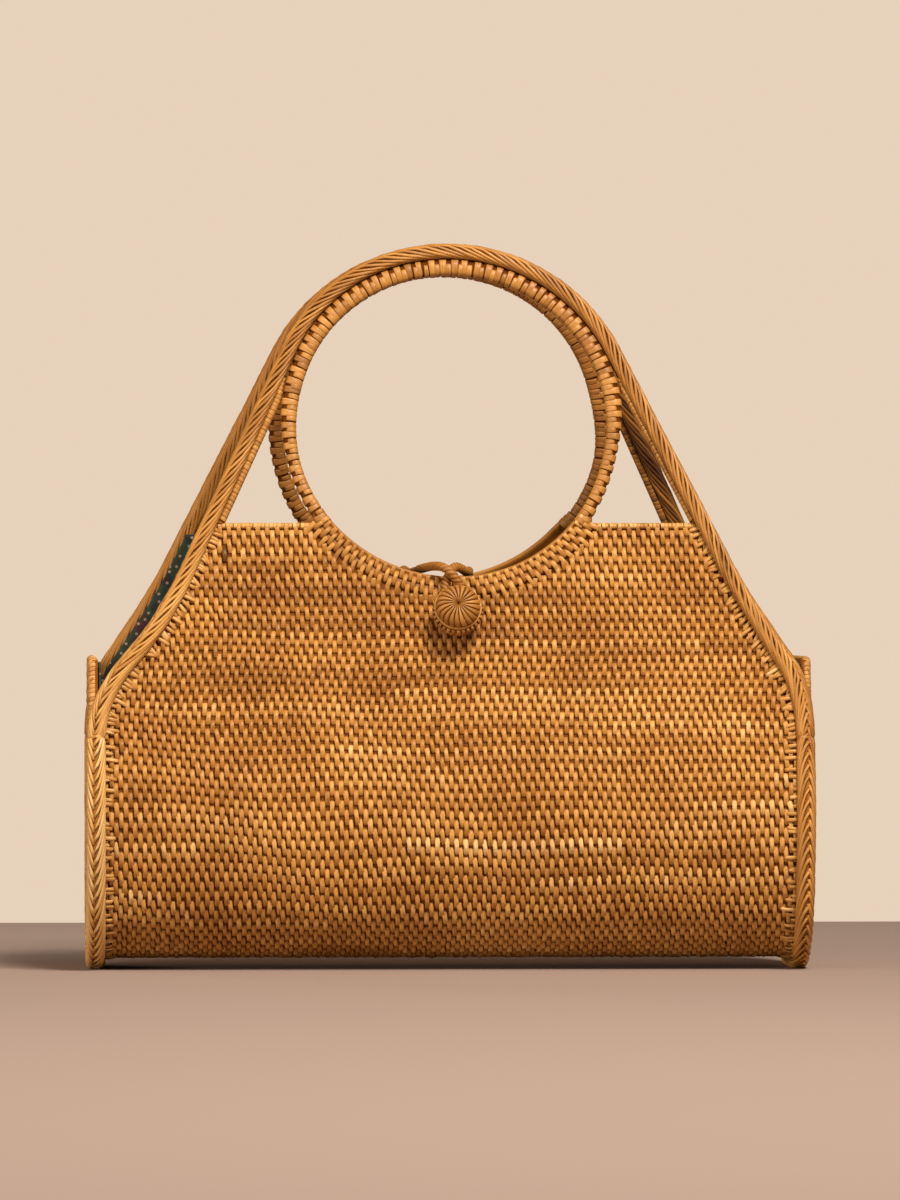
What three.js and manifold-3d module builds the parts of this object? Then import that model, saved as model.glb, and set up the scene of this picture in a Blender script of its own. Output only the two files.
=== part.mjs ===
// A handbag of coil-woven rattan. One sheet is folded into a U for the front, the bottom and
// the back. Upright end panels close the U, plaited rims cover its seams and run over an arch
// on each side, and a stitched ring hangs in each arch as the hand hole. A cloth lining, a
// toggle and a cord loop complete it.
// Millimetres, +Z up, front towards -Y. The origin is on the ground under the middle.
import * as THREE from "three";
import { mergeVertices } from "three/addons/utils/BufferGeometryUtils.js";
import Module from "manifold-3d";

const wasm = await Module();
wasm.setup();
const { degToRad, lerp, smoothstep } = THREE.MathUtils;

// Overall sizes.
const WIDTH = 330; // over the end braids
const GAP = 0.3; // between neighbouring pieces
const WALL = 3; // woven sheet
const GROUND_GAP = 5; // woven bottom above the ground

// Side profile of the sheet's middle surface, from the middle of the bottom upwards.
const BOTTOM_HALF = 16; // flat under the bag, to each side
const CORNER_RADIUS = 44; // lower corner
const CORNER_TOP = degToRad(-20); // rise of the outward normal where the corner ends
const BULGE_RADIUS = 110; // widest part
const LEAN = degToRad(13.5); // straight upper part, leaning inwards
const LEAN_LENGTH = 239.6; // from the bulge to the top of the arch

// Outline of the upper part, laid flat: up is measured along the lean from the bulge.
const SHOULDER_ANGLE = degToRad(25.2); // slanted edge from the upright
const FLARE_ANGLE = degToRad(38); // at the foot of the slanted edge
const FLARE_RADIUS = 227; // hollow curve of the flare
const SHOULDER_RADIUS = 63; // round curve down to the ends
const FRONT_TOP = 108; // level top edge of the walls
const SLIP = 0.095; // sideways slip of the leaning walls per depth, front to +X, back to -X
const SLIP_RAMP = [8, 66]; // heights along the lean over which the slip sets in

// Plaited rims: how wide, and how far they reach in and out of the sheet's middle surface.
const ARCH_BRAID = { width: 6.2, inner: -4.5, outer: 4.5 };
const END_BRAID = { width: 7.6, inner: -2.5, outer: 5.5 };
const FOOT_OUTER = GROUND_GAP + WALL / 2; // the end braids stand on the ground
const BRAID_ROUNDING = 2.4;
const WIDTH_CHANGE = [10, 110]; // heights along the lean over which the braid narrows
const DEPTH_CHANGE = [122, 150]; // and over which it settles on the arch

// Handle.
const HOLE_RADIUS = 71;
const RING_WIDTH = 8;
const RING_HALF_DEPTH = 3;
const RING_ROUNDING = 1.6;
const RING_SWAY = 1.7; // a ring hangs this far against its wall's slip
const SWAY_RAMP = [125, 182]; // heights along the lean over which the sway fades out
const LEG_WIDTH = 3;
const LEG_HALF_DEPTH = 2.6;
const LEG_TOP_TAPER = 13; // the leg ends this far short of where the rim leaves the ring

// End panels and lining.
const PANEL_TOP_Z = 143;
const PANEL_THICK = 4;
const PANEL_OUTER_X = 164.6;
const CLOTH = 1;
const LINING_TOP_Z = 140;
const LINING_TOP = 104;
const LINING_INSET = 1.8; // from the ring
const LINING_RIM = 2.6; // from the outer edge of the rim's plait, behind which it is sewn

// Toggle and its cord loop.
const TOGGLE_UP = 64.2;
const TOGGLE_X = 3.1;
const TOGGLE_NECK = 5.7;
const TOGGLE_BACK = 9.6; // underside of the knob above the middle surface
const TOGGLE_TILT = degToRad(9); // the loop pulls the knob's face upwards
const TILT_START = 3; // height on the neck where the tilt sets in
const TILT_PIVOT = 5;
const CORD = 4;
const CORD_BEND = 8;
const CORD_STEPS = 60;

// Values that follow from the driving sizes.
const SHEET_BASE = GROUND_GAP + WALL / 2;
const CORNER_LENGTH = CORNER_RADIUS * (CORNER_TOP + Math.PI / 2);
const BULGE_LENGTH = BULGE_RADIUS * (LEAN - CORNER_TOP);
const LEAN_START = BOTTOM_HALF + CORNER_LENGTH + BULGE_LENGTH;
const RING_RADIUS = HOLE_RADIUS + RING_WIDTH;
const ARCH_RADIUS = RING_RADIUS + GAP + ARCH_BRAID.width;
const HOLE_UP = LEAN_LENGTH - ARCH_RADIUS;
const END_X = WIDTH / 2;
const CUT_REACH = 4 * WALL; // how far a cut runs to each side of the sheet
const CUT_MARGIN = 20; // how far it runs past the sheet's edges

// Point at a radius and angle about a centre, in the plane of the side profile.
function onArc(centre, radius, angle) {
  return {
    depth: centre.depth + radius * Math.cos(angle),
    z: centre.z + radius * Math.sin(angle),
    tilt: angle,
  };
}

const CORNER_CENTRE = { depth: BOTTOM_HALF, z: SHEET_BASE + CORNER_RADIUS };
const BULGE_CENTRE = onArc(CORNER_CENTRE, CORNER_RADIUS - BULGE_RADIUS, CORNER_TOP);
const LEAN_FOOT = onArc(BULGE_CENTRE, BULGE_RADIUS, LEAN);

// Side profile: half depth, height and rise of the outward normal at a length along the sheet.
function profileAt(along) {
  if (along <= BOTTOM_HALF) {
    return { depth: along, z: SHEET_BASE, tilt: -Math.PI / 2 };
  }
  const inCorner = along - BOTTOM_HALF;
  if (inCorner <= CORNER_LENGTH) {
    return onArc(CORNER_CENTRE, CORNER_RADIUS, inCorner / CORNER_RADIUS - Math.PI / 2);
  }
  const inBulge = inCorner - CORNER_LENGTH;
  if (inBulge <= BULGE_LENGTH) {
    return onArc(BULGE_CENTRE, BULGE_RADIUS, CORNER_TOP + inBulge / BULGE_RADIUS);
  }
  const up = inBulge - BULGE_LENGTH;
  return {
    depth: LEAN_FOOT.depth - up * Math.sin(LEAN),
    z: LEAN_FOOT.z + up * Math.cos(LEAN),
    tilt: LEAN,
  };
}

// Length along the sheet at a height on its straight upper part.
function alongAtHeight(z) {
  return LEAN_START + (z - LEAN_FOOT.z) / Math.cos(LEAN);
}

// Sideways slip of a leaning wall at a height along the lean.
function slipAt(up) {
  return SLIP * profileAt(LEAN_START + up).depth * smoothstep(up, SLIP_RAMP[0], SLIP_RAMP[1]);
}

// Sideways sway of a hand ring in its wall, at a height along the lean.
function swayAt(up) {
  return RING_SWAY * (smoothstep(up, SWAY_RAMP[0], SWAY_RAMP[1]) - 1);
}

// A point of the flat sheet, folded up: x across, along from the middle of the bottom (front
// positive), out from the middle surface.
function folded(x, along, out) {
  const side = Math.sign(along);
  const { depth, z, tilt } = profileAt(Math.abs(along));
  return new THREE.Vector3(
    x + side * slipAt(Math.abs(along) - LEAN_START),
    -side * (depth + out * Math.cos(tilt)),
    z + out * Math.sin(tilt),
  );
}

// Lengths along the sheet where the folded shapes have their stations, up to a top.
function profileStations(top) {
  const stretches = [
    { start: 0, end: BOTTOM_HALF, steps: 1 },
    { start: BOTTOM_HALF, end: BOTTOM_HALF + CORNER_LENGTH, steps: 8 },
    { start: BOTTOM_HALF + CORNER_LENGTH, end: LEAN_START, steps: 5 },
    { start: LEAN_START, end: top, steps: 1 },
  ];
  const half = [];
  for (const { start, end, steps } of stretches) {
    for (let i = 1; i <= steps; i += 1) {
      half.push(lerp(start, end, i / steps));
    }
  }
  return [...half.map((along) => -along).reverse(), ...half];
}

// Right half of the rim's outer edge, from the top of the arch to the foot of the shoulder.
// slope is the edge's direction from the upright; its outward normal follows from it.
function outerEdge() {
  const stations = [];
  let x = 0;
  let up = LEAN_LENGTH;
  const add = (slope) => {
    stations.push({ x, up, normalX: Math.cos(slope), normalUp: Math.sin(slope) });
  };
  const curve = (from, to, radius, steps) => {
    const startX = x;
    const startUp = up;
    for (let i = 1; i <= steps; i += 1) {
      const slope = lerp(from, to, i / steps);
      x = startX + radius * (Math.cos(slope) - Math.cos(from));
      up = startUp + radius * (Math.sin(slope) - Math.sin(from));
      add(slope);
    }
  };
  add(Math.PI / 2);
  curve(Math.PI / 2, SHOULDER_ANGLE, ARCH_RADIUS, 12);
  const flareX = FLARE_RADIUS * (Math.cos(SHOULDER_ANGLE) - Math.cos(FLARE_ANGLE));
  const shoulderX = SHOULDER_RADIUS * (1 - Math.cos(FLARE_ANGLE));
  const slantX = END_X - x - flareX - shoulderX;
  const slantSteps = 4;
  for (let i = 0; i < slantSteps; i += 1) {
    x += slantX / slantSteps;
    up -= slantX / slantSteps / Math.tan(SHOULDER_ANGLE);
    add(SHOULDER_ANGLE);
  }
  curve(SHOULDER_ANGLE, FLARE_ANGLE, -FLARE_RADIUS, 4);
  curve(FLARE_ANGLE, 0, SHOULDER_RADIUS, 6);
  return stations;
}

const EDGE = outerEdge();
const SHOULDER_FOOT = EDGE[EDGE.length - 1].up;

// Section of the plait on the rim at a height along the lean.
function rimSection(up) {
  const narrow = smoothstep(up, WIDTH_CHANGE[0], WIDTH_CHANGE[1]);
  const settle = smoothstep(up, DEPTH_CHANGE[0], DEPTH_CHANGE[1]);
  return {
    width: lerp(END_BRAID.width, ARCH_BRAID.width, narrow),
    inner: lerp(END_BRAID.inner, ARCH_BRAID.inner, settle),
    outer: lerp(END_BRAID.outer, ARCH_BRAID.outer, settle),
  };
}

// Rounded rectangle between two corners, as points in order.
function roundedSection(low, high, rounding) {
  const corners = [
    { x: high.x - rounding, y: high.y - rounding, start: 0 },
    { x: low.x + rounding, y: high.y - rounding, start: 1 },
    { x: low.x + rounding, y: low.y + rounding, start: 2 },
    { x: high.x - rounding, y: low.y + rounding, start: 3 },
  ];
  const steps = 2;
  const points = [];
  for (const { x, y, start } of corners) {
    for (let i = 0; i <= steps; i += 1) {
      const angle = (start + i / steps) * (Math.PI / 2);
      points.push({ x: x + rounding * Math.cos(angle), y: y + rounding * Math.sin(angle) });
    }
  }
  return points;
}

// A solid through rings of points, closed on itself or capped at both ends.
function throughRings(rings, closed) {
  const size = rings[0].length;
  const positions = rings.flat().flatMap((point) => point.toArray());
  const index = [];
  const joins = closed ? rings.length : rings.length - 1;
  for (let r = 0; r < joins; r += 1) {
    const here = r * size;
    const there = ((r + 1) % rings.length) * size;
    for (let i = 0; i < size; i += 1) {
      const j = (i + 1) % size;
      index.push(here + i, there + i, there + j, here + i, there + j, here + j);
    }
  }
  const last = (rings.length - 1) * size;
  for (let i = 1; i < size - 1 && !closed; i += 1) {
    index.push(0, i, i + 1, last, last + i + 1, last + i);
  }
  const geometry = new THREE.BufferGeometry();
  geometry.setAttribute("position", new THREE.Float32BufferAttribute(positions, 3));
  geometry.setIndex(index);
  return facingOut(geometry);
}

// Turns every triangle round where the solid is inside out.
function facingOut(geometry) {
  const position = geometry.getAttribute("position");
  const index = geometry.getIndex();
  const [a, b, c] = [new THREE.Vector3(), new THREE.Vector3(), new THREE.Vector3()];
  let volume = 0;
  for (let i = 0; i < index.count; i += 3) {
    a.fromBufferAttribute(position, index.getX(i));
    b.fromBufferAttribute(position, index.getX(i + 1));
    c.fromBufferAttribute(position, index.getX(i + 2));
    volume += a.dot(b.cross(c));
  }
  for (let i = 0; i < index.count && volume < 0; i += 3) {
    const second = index.getX(i + 1);
    index.setX(i + 1, index.getX(i + 2));
    index.setX(i + 2, second);
  }
  geometry.computeVertexNormals();
  return geometry;
}

// A closed geometry as a solid that can be joined and cut, and back again.
function solidOf(geometry) {
  const bare = geometry.clone();
  bare.deleteAttribute("normal");
  bare.deleteAttribute("uv");
  const merged = mergeVertices(bare, 1e-4);
  return new wasm.Manifold(
    new wasm.Mesh({
      numProp: 3,
      vertProperties: merged.getAttribute("position").array,
      triVerts: Uint32Array.from(merged.getIndex().array),
    }),
  );
}

function geometryOf(solid) {
  const mesh = solid.getMesh();
  const geometry = new THREE.BufferGeometry();
  geometry.setAttribute("position", new THREE.BufferAttribute(mesh.vertProperties, 3));
  geometry.setIndex(new THREE.BufferAttribute(mesh.triVerts, 1));
  geometry.computeVertexNormals();
  return geometry;
}

// Extrudes an outline of the side profile (depth, z) across the bag, between two x.
function acrossBag(points, fromX, toX) {
  const outline = new THREE.Shape(points.map(({ y, z }) => new THREE.Vector2(y, z)));
  const geometry = new THREE.ExtrudeGeometry(outline, { depth: toX - fromX, bevelEnabled: false });
  const turn = new THREE.Matrix4().makeBasis(
    new THREE.Vector3(0, 1, 0),
    new THREE.Vector3(0, 0, 1),
    new THREE.Vector3(1, 0, 0),
  );
  return geometry.applyMatrix4(turn).translate(fromX, 0, 0);
}

// The U of the sheet between two distances from its middle surface, as a solid.
function foldedBand(inner, outer, top, halfWidth) {
  const stations = profileStations(top);
  const outside = stations.map((along) => folded(0, along, outer));
  const inside = stations.map((along) => folded(0, along, inner)).reverse();
  return solidOf(acrossBag([...outside, ...inside], -halfWidth, halfWidth));
}

// Plane of a leaning wall: x across, y up along the lean, z out of the bag.
function leaningWall(isFront) {
  const wall = new THREE.Group();
  wall.position.set(0, -LEAN_FOOT.depth, LEAN_FOOT.z);
  wall.rotation.x = Math.PI / 2 - LEAN;
  const turned = new THREE.Group();
  turned.rotation.z = isFront ? 0 : Math.PI;
  turned.add(wall);
  turned.updateMatrixWorld(true);
  return { wall, turned };
}

const FRONT = leaningWall(true);
const BACK = leaningWall(false);

// Moves what is drawn in a wall's plane sideways, by an amount for each height.
function movedSideways(geometry, amountAt) {
  const position = geometry.getAttribute("position");
  for (let i = 0; i < position.count; i += 1) {
    position.setX(i, position.getX(i) + amountAt(position.getY(i)));
  }
  geometry.computeVertexNormals();
  return geometry;
}

// A prism through one leaning wall, from an outline in that wall's plane.
function throughWall(outline) {
  const depth = 2 * CUT_REACH;
  const options = { depth, bevelEnabled: false, curveSegments: 40 };
  return new THREE.ExtrudeGeometry(outline, options).translate(0, 0, -CUT_REACH);
}

// A prism as a cutting solid, slipped with its wall.
function cutter(prism, side) {
  return solidOf(movedSideways(prism, slipAt).applyMatrix4(side.wall.matrixWorld));
}

// What is cut away beside the slanted edge: everything outside a line set back from it.
function besideEdge(mirror, side, setBack, footUp) {
  const far = END_X + CUT_MARGIN;
  const line = EDGE.filter(({ up }) => up >= footUp - 1e-6 && up < FRONT_TOP + 2 * CUT_MARGIN);
  const points = line.map(({ x, up, normalX, normalUp }) => {
    const back = setBack(up);
    return new THREE.Vector2(mirror * (x - normalX * back), up - normalUp * back);
  });
  const foot = points[points.length - 1].y;
  const top = points[0].y;
  points.push(new THREE.Vector2(mirror * far, foot), new THREE.Vector2(mirror * far, top));
  return cutter(throughWall(new THREE.Shape(points)), side);
}

// The round cut under the hand hole.
function notch(side, radius) {
  const round = new THREE.Shape().absarc(0, HOLE_UP, radius, 0, 2 * Math.PI);
  return cutter(movedSideways(throughWall(round), swayAt), side);
}

function cutUpperPart(solid, setBack, notchRadius, footUp) {
  let cut = solid;
  for (const side of [FRONT, BACK]) {
    cut = cut.subtract(besideEdge(1, side, setBack, footUp));
    cut = cut.subtract(besideEdge(-1, side, setBack, footUp));
    cut = cut.subtract(notch(side, notchRadius));
  }
  return cut;
}

function wovenBody() {
  const halfWidth = END_X - END_BRAID.width - GAP;
  const band = foldedBand(-WALL / 2, WALL / 2, LEAN_START + FRONT_TOP, halfWidth);
  const besideRim = (up) => rimSection(up).width + GAP;
  return geometryOf(cutUpperPart(band, besideRim, RING_RADIUS + GAP, SHOULDER_FOOT));
}

// Side profile closed at a level top, this far out of the middle surface.
function endOutline(out, topZ) {
  const top = alongAtHeight(topZ - out * Math.sin(LEAN));
  return profileStations(top).map((along) => {
    const { y, z } = folded(0, along, out);
    return { y, z };
  });
}

const END_CLEAR = END_BRAID.inner - GAP;

function endPanel(sign) {
  const inner = PANEL_OUTER_X - PANEL_THICK;
  const [from, to] = sign > 0 ? [inner, PANEL_OUTER_X] : [-PANEL_OUTER_X, -inner];
  return acrossBag(endOutline(END_CLEAR, PANEL_TOP_Z), from, to);
}

function lining() {
  const halfWidth = PANEL_OUTER_X - PANEL_THICK - GAP;
  const band = foldedBand(END_CLEAR - CLOTH, END_CLEAR, LEAN_START + LINING_TOP, halfWidth);
  const footUp = (LINING_TOP_Z - LEAN_FOOT.z) / Math.cos(LEAN);
  const notchRadius = RING_RADIUS + GAP + LINING_INSET;
  let pouch = cutUpperPart(band, () => LINING_RIM, notchRadius, footUp);
  const outline = endOutline(END_CLEAR - CLOTH / 2, LINING_TOP_Z);
  for (const from of [-halfWidth, halfWidth - CLOTH]) {
    pouch = pouch.add(solidOf(acrossBag(outline, from, from + CLOTH)));
  }
  return geometryOf(pouch);
}

// Plait along the slanted shoulders and over the arch of one side.
function rimBraid(isFront) {
  const half = EDGE.map(({ x, up, normalX, normalUp }) => {
    const { width, inner, outer } = rimSection(up);
    const low = { x: -width, y: inner };
    const section = roundedSection(low, { x: 0, y: outer }, BRAID_ROUNDING);
    return { x, up, normalX, normalUp, section };
  });
  const ring = (mirror) => ({ x, up, normalX, normalUp, section }) =>
    section.map((point) => {
      const along = LEAN_START + up + normalUp * point.x;
      return folded(mirror * (x + normalX * point.x), isFront ? along : -along, point.y);
    });
  const left = half.slice(1).reverse().map(ring(-1));
  return throughRings([...left, ...half.map(ring(1))], false);
}

// Plait round one end of the bag, between the feet of the two shoulders.
function endBraid(sign) {
  const top = LEAN_START + SHOULDER_FOOT - GAP;
  const rings = profileStations(top).map((along) => {
    const rise = smoothstep(Math.abs(along), BOTTOM_HALF + CORNER_LENGTH, top);
    const low = { x: END_X - END_BRAID.width, y: END_BRAID.inner };
    const high = { x: END_X, y: lerp(FOOT_OUTER, END_BRAID.outer, rise) };
    const section = roundedSection(low, high, BRAID_ROUNDING);
    return section.map((point) => folded(sign * point.x, along, point.y));
  });
  return throughRings(rings, false);
}

function handRing() {
  const steps = 40;
  const low = { x: HOLE_RADIUS, y: -RING_HALF_DEPTH };
  const high = { x: RING_RADIUS, y: RING_HALF_DEPTH };
  const section = roundedSection(low, high, RING_ROUNDING);
  const rings = [];
  for (let i = 0; i < steps; i += 1) {
    const angle = (i / steps) * 2 * Math.PI;
    rings.push(
      section.map(
        ({ x, y }) =>
          new THREE.Vector3(x * Math.cos(angle), HOLE_UP + x * Math.sin(angle), y),
      ),
    );
  }
  return movedSideways(movedSideways(throughRings(rings, true), swayAt), slipAt);
}

// Stitched row inside the rim, from the wall's top edge to where it meets the ring. The strip
// is drawn along the slanted edge, which passes the hole at the arch's radius.
function archLeg(mirror) {
  const outer = ARCH_RADIUS - ARCH_BRAID.width - GAP;
  const inner = outer - LEG_WIDTH;
  const across = [Math.cos(SHOULDER_ANGLE), Math.sin(SHOULDER_ANGLE)];
  const down = [Math.sin(SHOULDER_ANGLE), -Math.cos(SHOULDER_ANGLE)];
  const at = (offset, run) =>
    new THREE.Vector2(
      mirror * (across[0] * offset + down[0] * run),
      HOLE_UP + across[1] * offset + down[1] * run,
    );
  const runTo = (offset) =>
    (HOLE_UP + across[1] * offset - FRONT_TOP - GAP) / Math.cos(SHOULDER_ANGLE);
  const strip = new THREE.Shape([
    at(outer, LEG_TOP_TAPER),
    at(inner, LEG_TOP_TAPER),
    at(inner, runTo(inner)),
    at(outer, runTo(outer)),
  ]);
  const depth = 2 * LEG_HALF_DEPTH;
  const bar = new THREE.ExtrudeGeometry(strip, { depth, bevelEnabled: false });
  const clear = RING_RADIUS + GAP;
  const round = new THREE.CylinderGeometry(clear, clear, CUT_REACH, 120);
  const disc = round.rotateX(Math.PI / 2).translate(0, HOLE_UP, 0);
  const ringRoom = solidOf(movedSideways(disc, swayAt));
  const leg = solidOf(bar.translate(0, 0, -LEG_HALF_DEPTH)).subtract(ringRoom);
  return movedSideways(geometryOf(leg), slipAt);
}

// Knob on a neck: radius and height above the sheet's middle surface.
function toggleButton() {
  const seat = WALL / 2 + GAP;
  const profile = [
    { radius: 0, out: seat },
    { radius: TOGGLE_NECK, out: seat },
    { radius: TOGGLE_NECK, out: TILT_PIVOT },
    { radius: TOGGLE_NECK, out: TOGGLE_BACK },
    { radius: 9.4, out: TOGGLE_BACK },
    { radius: 10.6, out: TOGGLE_BACK + 1 },
    { radius: 10.6, out: TOGGLE_BACK + 2.6 },
    { radius: 9.9, out: TOGGLE_BACK + 3.6 },
    { radius: 10.1, out: TOGGLE_BACK + 5.2 },
    { radius: 9.2, out: TOGGLE_BACK + 7.4 },
    { radius: 6.8, out: TOGGLE_BACK + 8.9 },
    { radius: 3, out: TOGGLE_BACK + 9.3 },
    { radius: 0, out: TOGGLE_BACK + 8.7 },
  ];
  const points = profile.map(({ radius, out }) => new THREE.Vector2(radius, out));
  const button = new THREE.LatheGeometry(points, 24).rotateX(Math.PI / 2);
  const position = button.getAttribute("position");
  for (let i = 0; i < position.count; i += 1) {
    const tilt = TOGGLE_TILT * smoothstep(position.getZ(i), TILT_START, TOGGLE_BACK);
    const out = position.getZ(i) - TILT_PIVOT;
    const up = position.getY(i);
    position.setY(i, up * Math.cos(tilt) + out * Math.sin(tilt));
    position.setZ(i, TILT_PIVOT + out * Math.cos(tilt) - up * Math.sin(tilt));
  }
  button.computeVertexNormals();
  return button;
}

// Route of the loop, from the inside of the back wall over the hole's edge, round the toggle's
// neck, under itself and back: up is the height along the lean, out the distance from the
// middle surface.
const NECK_SLANT = CORD_BEND * Math.SQRT1_2;
const ROUTE = [
  { wall: "back", up: 64, out: -6.2, x: -19 },
  { wall: "back", up: 70.5, out: -6.2, x: -19 },
  { wall: "back", up: 77.5, out: -6.2, x: -19 },
  { wall: "back", up: 84, out: -7.6, x: -19 },
  { wall: "back", up: 89.4, out: -13.4, x: -18.4 },
  { wall: "back", up: 91, out: -25, x: -16.4 },
  { wall: "front", up: 88.6, out: -7, x: -12 },
  { wall: "front", up: 87.4, out: 2.2, x: -7.4 },
  { wall: "front", up: 85.6, out: 7.7, x: -3.6 },
  { wall: "front", up: 83, out: 9.4, x: -0.1 },
  { wall: "front", up: 79.5, out: 8.4, x: 2.9 },
  { wall: "front", up: 75.5, out: 6, x: 5.8 },
  { wall: "front", up: 70.5, out: 5, x: 8.8 },
  { wall: "front", up: TOGGLE_UP, out: 4.3, x: TOGGLE_X + CORD_BEND },
  { wall: "front", up: TOGGLE_UP - NECK_SLANT, out: 4, x: TOGGLE_X + NECK_SLANT },
  { wall: "front", up: TOGGLE_UP - CORD_BEND, out: 4, x: TOGGLE_X },
  { wall: "front", up: TOGGLE_UP - NECK_SLANT, out: 4, x: TOGGLE_X - NECK_SLANT },
  { wall: "front", up: TOGGLE_UP, out: 4.3, x: TOGGLE_X - CORD_BEND },
  { wall: "front", up: 70.5, out: 5, x: -2.8 },
  { wall: "front", up: 76, out: 5.3, x: -2 },
  { wall: "front", up: 80.5, out: 5.1, x: -1.4 },
  { wall: "front", up: 84.6, out: 4.4, x: 0.3 },
  { wall: "front", up: 87.4, out: 0.8, x: 2.8 },
  { wall: "front", up: 87.6, out: -3.6, x: 5.6 },
  { wall: "front", up: 87.2, out: -9.5, x: 8.4 },
  { wall: "back", up: 90.2, out: -25, x: 11.4 },
  { wall: "back", up: 89, out: -13.4, x: 12 },
  { wall: "back", up: 84, out: -7.6, x: 12 },
  { wall: "back", up: 77.5, out: -6.2, x: 11.8 },
  { wall: "back", up: 70.5, out: -6.2, x: 11.8 },
  { wall: "back", up: 64, out: -6.2, x: 11.8 },
];

function toggleLoop() {
  const knots = ROUTE.map(({ wall, up, out, x }) => {
    const side = wall === "front" ? 1 : -1;
    return folded(0, side * (LEAN_START + up), out).setX(x);
  });
  const route = new THREE.CatmullRomCurve3(knots);
  const sides = 8;
  const section = [];
  for (let i = 0; i < sides; i += 1) {
    const angle = (i / sides) * 2 * Math.PI;
    section.push(new THREE.Vector2(Math.cos(angle), Math.sin(angle)).multiplyScalar(CORD / 2));
  }
  return new THREE.ExtrudeGeometry(new THREE.Shape(section), {
    steps: CORD_STEPS,
    extrudePath: route,
    bevelEnabled: false,
  });
}

const FINISHES = {
  weave: { color: 0xb47a3a, roughness: 0.62, metalness: 0 },
  plait: { color: 0xc08c46, roughness: 0.55, metalness: 0 },
  cloth: { color: 0x2e2a20, roughness: 0.9, metalness: 0 },
  cord: { color: 0xa56c35, roughness: 0.7, metalness: 0 },
};

function piece(name, geometry, finish) {
  const mesh = new THREE.Mesh(geometry, new THREE.MeshStandardMaterial(FINISHES[finish]));
  mesh.name = name;
  return mesh;
}

const handbag = new THREE.Group();
handbag.add(piece("woven_body", wovenBody(), "weave"));
handbag.add(piece("lining", lining(), "cloth"));
handbag.add(piece("toggle_loop", toggleLoop(), "cord"));
for (const [side, sign] of [["left", -1], ["right", 1]]) {
  handbag.add(piece(`end_panel_${side}`, endPanel(sign), "weave"));
  handbag.add(piece(`end_braid_${side}`, endBraid(sign), "plait"));
}
for (const [face, frame] of [["front", FRONT], ["back", BACK]]) {
  const isFront = frame === FRONT;
  handbag.add(piece(`rim_braid_${face}`, rimBraid(isFront), "plait"));
  frame.wall.add(piece(`hand_ring_${face}`, handRing(), "weave"));
  const leftMirror = isFront ? -1 : 1;
  frame.wall.add(piece(`arch_leg_${face}_left`, archLeg(leftMirror), "weave"));
  frame.wall.add(piece(`arch_leg_${face}_right`, archLeg(-leftMirror), "weave"));
  handbag.add(frame.turned);
}
const button = piece("toggle_button", toggleButton(), "cord");
button.position.set(TOGGLE_X, TOGGLE_UP, 0);
FRONT.wall.add(button);

export default handbag;
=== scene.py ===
# %% [markdown]
# # A handbag of woven rattan
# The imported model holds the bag's solids in metres, with the front towards -Y. Each solid has
# the outer form of one piece: a woven sheet folded into a U, two end panels, plaited rims,
# stitched rings, a cloth lining, a toggle and its loop. This lesson lays the strands, the
# cloth and the cord where those solids are, and gives them their finish.

# %% Load the frame
import math

import bmesh
import bpy
import numpy as np
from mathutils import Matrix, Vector


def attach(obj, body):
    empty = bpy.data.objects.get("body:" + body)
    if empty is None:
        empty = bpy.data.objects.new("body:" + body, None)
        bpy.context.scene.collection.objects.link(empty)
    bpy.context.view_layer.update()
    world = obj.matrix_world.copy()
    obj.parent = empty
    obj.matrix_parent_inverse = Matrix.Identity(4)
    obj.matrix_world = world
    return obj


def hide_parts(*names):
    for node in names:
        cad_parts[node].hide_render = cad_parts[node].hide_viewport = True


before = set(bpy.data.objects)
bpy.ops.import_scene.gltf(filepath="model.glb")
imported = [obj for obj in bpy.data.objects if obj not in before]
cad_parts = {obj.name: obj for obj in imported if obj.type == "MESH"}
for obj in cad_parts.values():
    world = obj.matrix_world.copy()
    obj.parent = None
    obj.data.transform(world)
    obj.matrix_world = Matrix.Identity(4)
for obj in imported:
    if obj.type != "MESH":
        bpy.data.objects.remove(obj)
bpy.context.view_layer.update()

# %% [markdown]
# ## Camera
# The bag is seen level, from far away and a little from its left, so front and back come out
# almost the same size. A long lens on a distant camera gives that. The lens follows from the
# distance and from the size of one picture point at the middle of the bag.

# %% Camera
CAMERA_DISTANCE = 4.5  # metres, like the other lengths here
CAMERA_YAW = math.radians(-2.6)
EYE_HEIGHT = 0.1688
CAMERA_ASIDE = 0.0021
POINT_SIZE = 0.0004605
FRAME_HEIGHT = 1200  # picture points
SENSOR_WIDTH = 36.0  # mm

lens = bpy.data.cameras.new("level_camera")
lens.sensor_width = SENSOR_WIDTH
lens.lens = CAMERA_DISTANCE / (POINT_SIZE * FRAME_HEIGHT) * SENSOR_WIDTH
camera = bpy.data.objects.new("level_camera", lens)
bpy.context.scene.collection.objects.link(camera)
bpy.context.scene.camera = camera
ahead = np.array([-math.sin(CAMERA_YAW), math.cos(CAMERA_YAW), 0.0])
right = np.array([math.cos(CAMERA_YAW), math.sin(CAMERA_YAW), 0.0])
camera.location = right * CAMERA_ASIDE - ahead * CAMERA_DISTANCE + [0, 0, EYE_HEIGHT]
camera.rotation_euler = (math.pi / 2, 0.0, CAMERA_YAW)
print("lens of", round(lens.lens, 1), "mm")
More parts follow.
